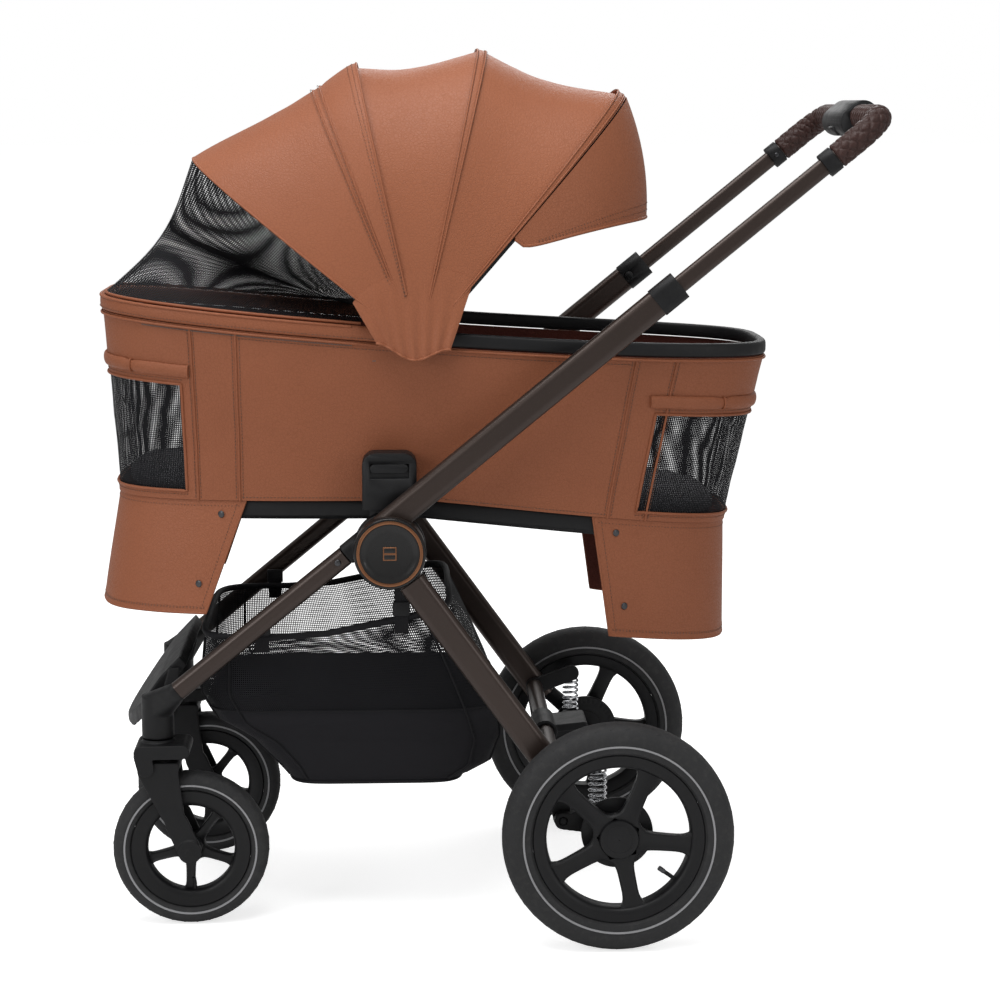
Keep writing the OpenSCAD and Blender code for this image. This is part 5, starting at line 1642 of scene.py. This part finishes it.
def visor_grid(off):
    """The visor's cloth, widest behind the crown."""
    rows, around, along, start, turn = [], 110, 16, 21, 138
    for k in range(along + 1):
        row = []
        for i in range(around + 1):
            t = start + turn * i / around
            reach = max(0.0, sin(radians((t - start) / turn * 180))) ** 0.45 + 0.03
            f = k / along
            ripple = 0.9 * noise.noise(Vector((t * 0.05, f * 1.5, 9))) * f
            row.append(arch(REAR - 0.15 - 20.6 * reach * f, REAR_R - 71 * reach * f - off + ripple - 0.9 * f,
                            HALF_WIDTH - off - 0.3, t))
        rows.append(row)
    return rows


rows = visor_grid(0.0)
visor = shell("canopy_visor_cloth", rows, visor_grid(1.4), hood_painted_lighter, "canopy_rear_bow")
as_sheet(rows)
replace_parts(visor, "canopy_visor")
visor_inside = shell("canopy_visor_lining", visor_grid(1.5), visor_grid(2.3), lining, "canopy_rear_bow")
as_sheet(rows, part=0.99)
tube_along("visor_edge_binding", visor_grid(0.9)[-1], 2.2, hood_painted_lighter, "canopy_rear_bow", 10)
spots = []
for k in (14, 15):
    spots += sewn(rows[k][4:-4], SEAM_STEP, lambda p: Vector((p.x - PIVOT[0], p.y, p.z - PIVOT[1])).normalized(), 0.4)
repeat("visor_stitches", stitch, spots, brown_thread, "canopy_rear_bow")


# Canopy feet: the gathered lower corners of the cloth, pleated over the bows'
# pivots and bound along the bottom, one on each side.


def gathered_corner(name, s):
    """The pleated foot of the canopy, drawn together over the bows' bosses and tucked behind the rim."""
    rows, back = [], []
    for k in range(13):
        f = k / 12
        row, under = [], []
        for j in range(97):
            g = j / 96
            angle = FRONT + 4 - (FRONT - REAR + 2) * g
            r = np.interp(angle, [REAR, MIDDLE, BROW, FRONT], [REAR_R, MIDDLE_R, BROW_R, FRONT_R])
            top = arch(angle, r, 197.6, 11.0)
            low = Vector((PIVOT[0] - 52 + 92 * g, 199.2, 754 - 8 * g - 17 * sin(pi * g) ** 2))
            p = low.lerp(top, f)
            pleat = 1.3 * sin(g * 26 * pi / 2) * (1 - 0.75 * f) + 0.5 * noise.noise(Vector((g * 9, f * 3, s)))
            p.y = (p.y + pleat * (1 - f) ** 0.5 + 2.6 * sin(pi * f) ** 0.6 * 0.6 + 1.6 * (1 - f)) * s
            row.append(p)
            under.append(p - Vector((0, s * 1.2, 0)))
        rows.append(row)
        back.append(under)
    corner = shell(name, rows, back, hood_painted_lighter, None)
    as_sheet(rows)
    binding = tube_along(f"{name}_binding", rows[0], 1.6, hood_painted_lighter, None, 8)
    for cloth in (corner, binding):
        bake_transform(cloth)


for name, s in SIDES:
    gathered_corner(f"canopy_foot_{name}", s)
put_away(stitch, teeth_shape)

# Studio: a pale seamless floor under four soft light panels, and a camera off
# the left side, a little higher than the rim.


def pale_floor():
    """Plain off-white studio floor."""
    material, tree, shader, _, shade = finish("pale_floor", 1.5, Roughness=0.9, Specular_IOR_Level=0.0,
                                              Emission_Color=(1, 1, 1))
    seen = tree.nodes.new("ShaderNodeLightPath")
    glow = shader_node(tree, "ShaderNodeMath", operation="MULTIPLY", i0=seen.outputs["Is Camera Ray"], i1=0.68)
    feed(shader, Emission_Strength=glow.outputs[0])
    feed(shader, Base_Color=mix(tree, shade.outputs[0], (0.80, 0.80, 0.80), (0.83, 0.83, 0.83)))
    return material


floor = add_piece("floor", [(-30000, -8000, 0), (30000, -8000, 0), (30000, 60000, 0), (-30000, 60000, 0)],
                  [(0, 1, 2, 3)], pale_floor(), smooth=False)

world = bpy.context.scene.world or bpy.data.worlds.new("studio")
bpy.context.scene.world = world
world.use_nodes = True
sky = world.node_tree
backdrop = sky.nodes["Background"]
backdrop.inputs[0].default_value = (1.0, 1.0, 1.0, 1)
seen = sky.nodes.new("ShaderNodeLightPath")
strength = sky.nodes.new("ShaderNodeMapRange")
sky.links.new(seen.outputs["Is Camera Ray"], strength.inputs[0])
strength.inputs[3].default_value, strength.inputs[4].default_value = 0.4, 1.0
sky.links.new(strength.outputs[0], backdrop.inputs[1])


def soft_panel(name, at, aim, width, height, power):
    """A rectangular soft light that looks at a point."""
    lamp = bpy.data.lights.new(name, "AREA")
    lamp.shape = "RECTANGLE"
    lamp.size, lamp.size_y, lamp.energy = width, height, power
    light = set_out(name, lamp)
    light.location = at
    light.rotation_euler = (Vector(aim) - Vector(at)).to_track_quat("-Z", "Y").to_euler()


soft_panel("top_panel", (-0.5, -0.6, 3.2), (0.0, 0.0, 0.6), width=2.4, height=2.0, power=66)
soft_panel("front_panel", (-2.6, -2.4, 1.7), (0.0, 0.0, 0.6), width=1.4, height=1.6, power=26)
soft_panel("side_panel", (2.4, -2.6, 1.3), (0.1, 0.0, 0.5), width=1.3, height=1.5, power=13)
soft_panel("back_panel", (0.6, 2.6, 2.2), (0.0, 0.0, 0.7), width=2.0, height=1.2, power=20)

lens = bpy.data.cameras.new("camera")
lens.sensor_width = 36.0
lens.lens = 88.35
lens.shift_y = -0.045
camera = set_out("camera", lens)
camera.location = (-0.1157, -3.2299, 1.0479)
camera.rotation_euler = (radians(90 - 8.1521), 0, radians(-2.3967))
bpy.context.scene.camera = camera
bpy.context.scene.view_settings.view_transform = "Standard"
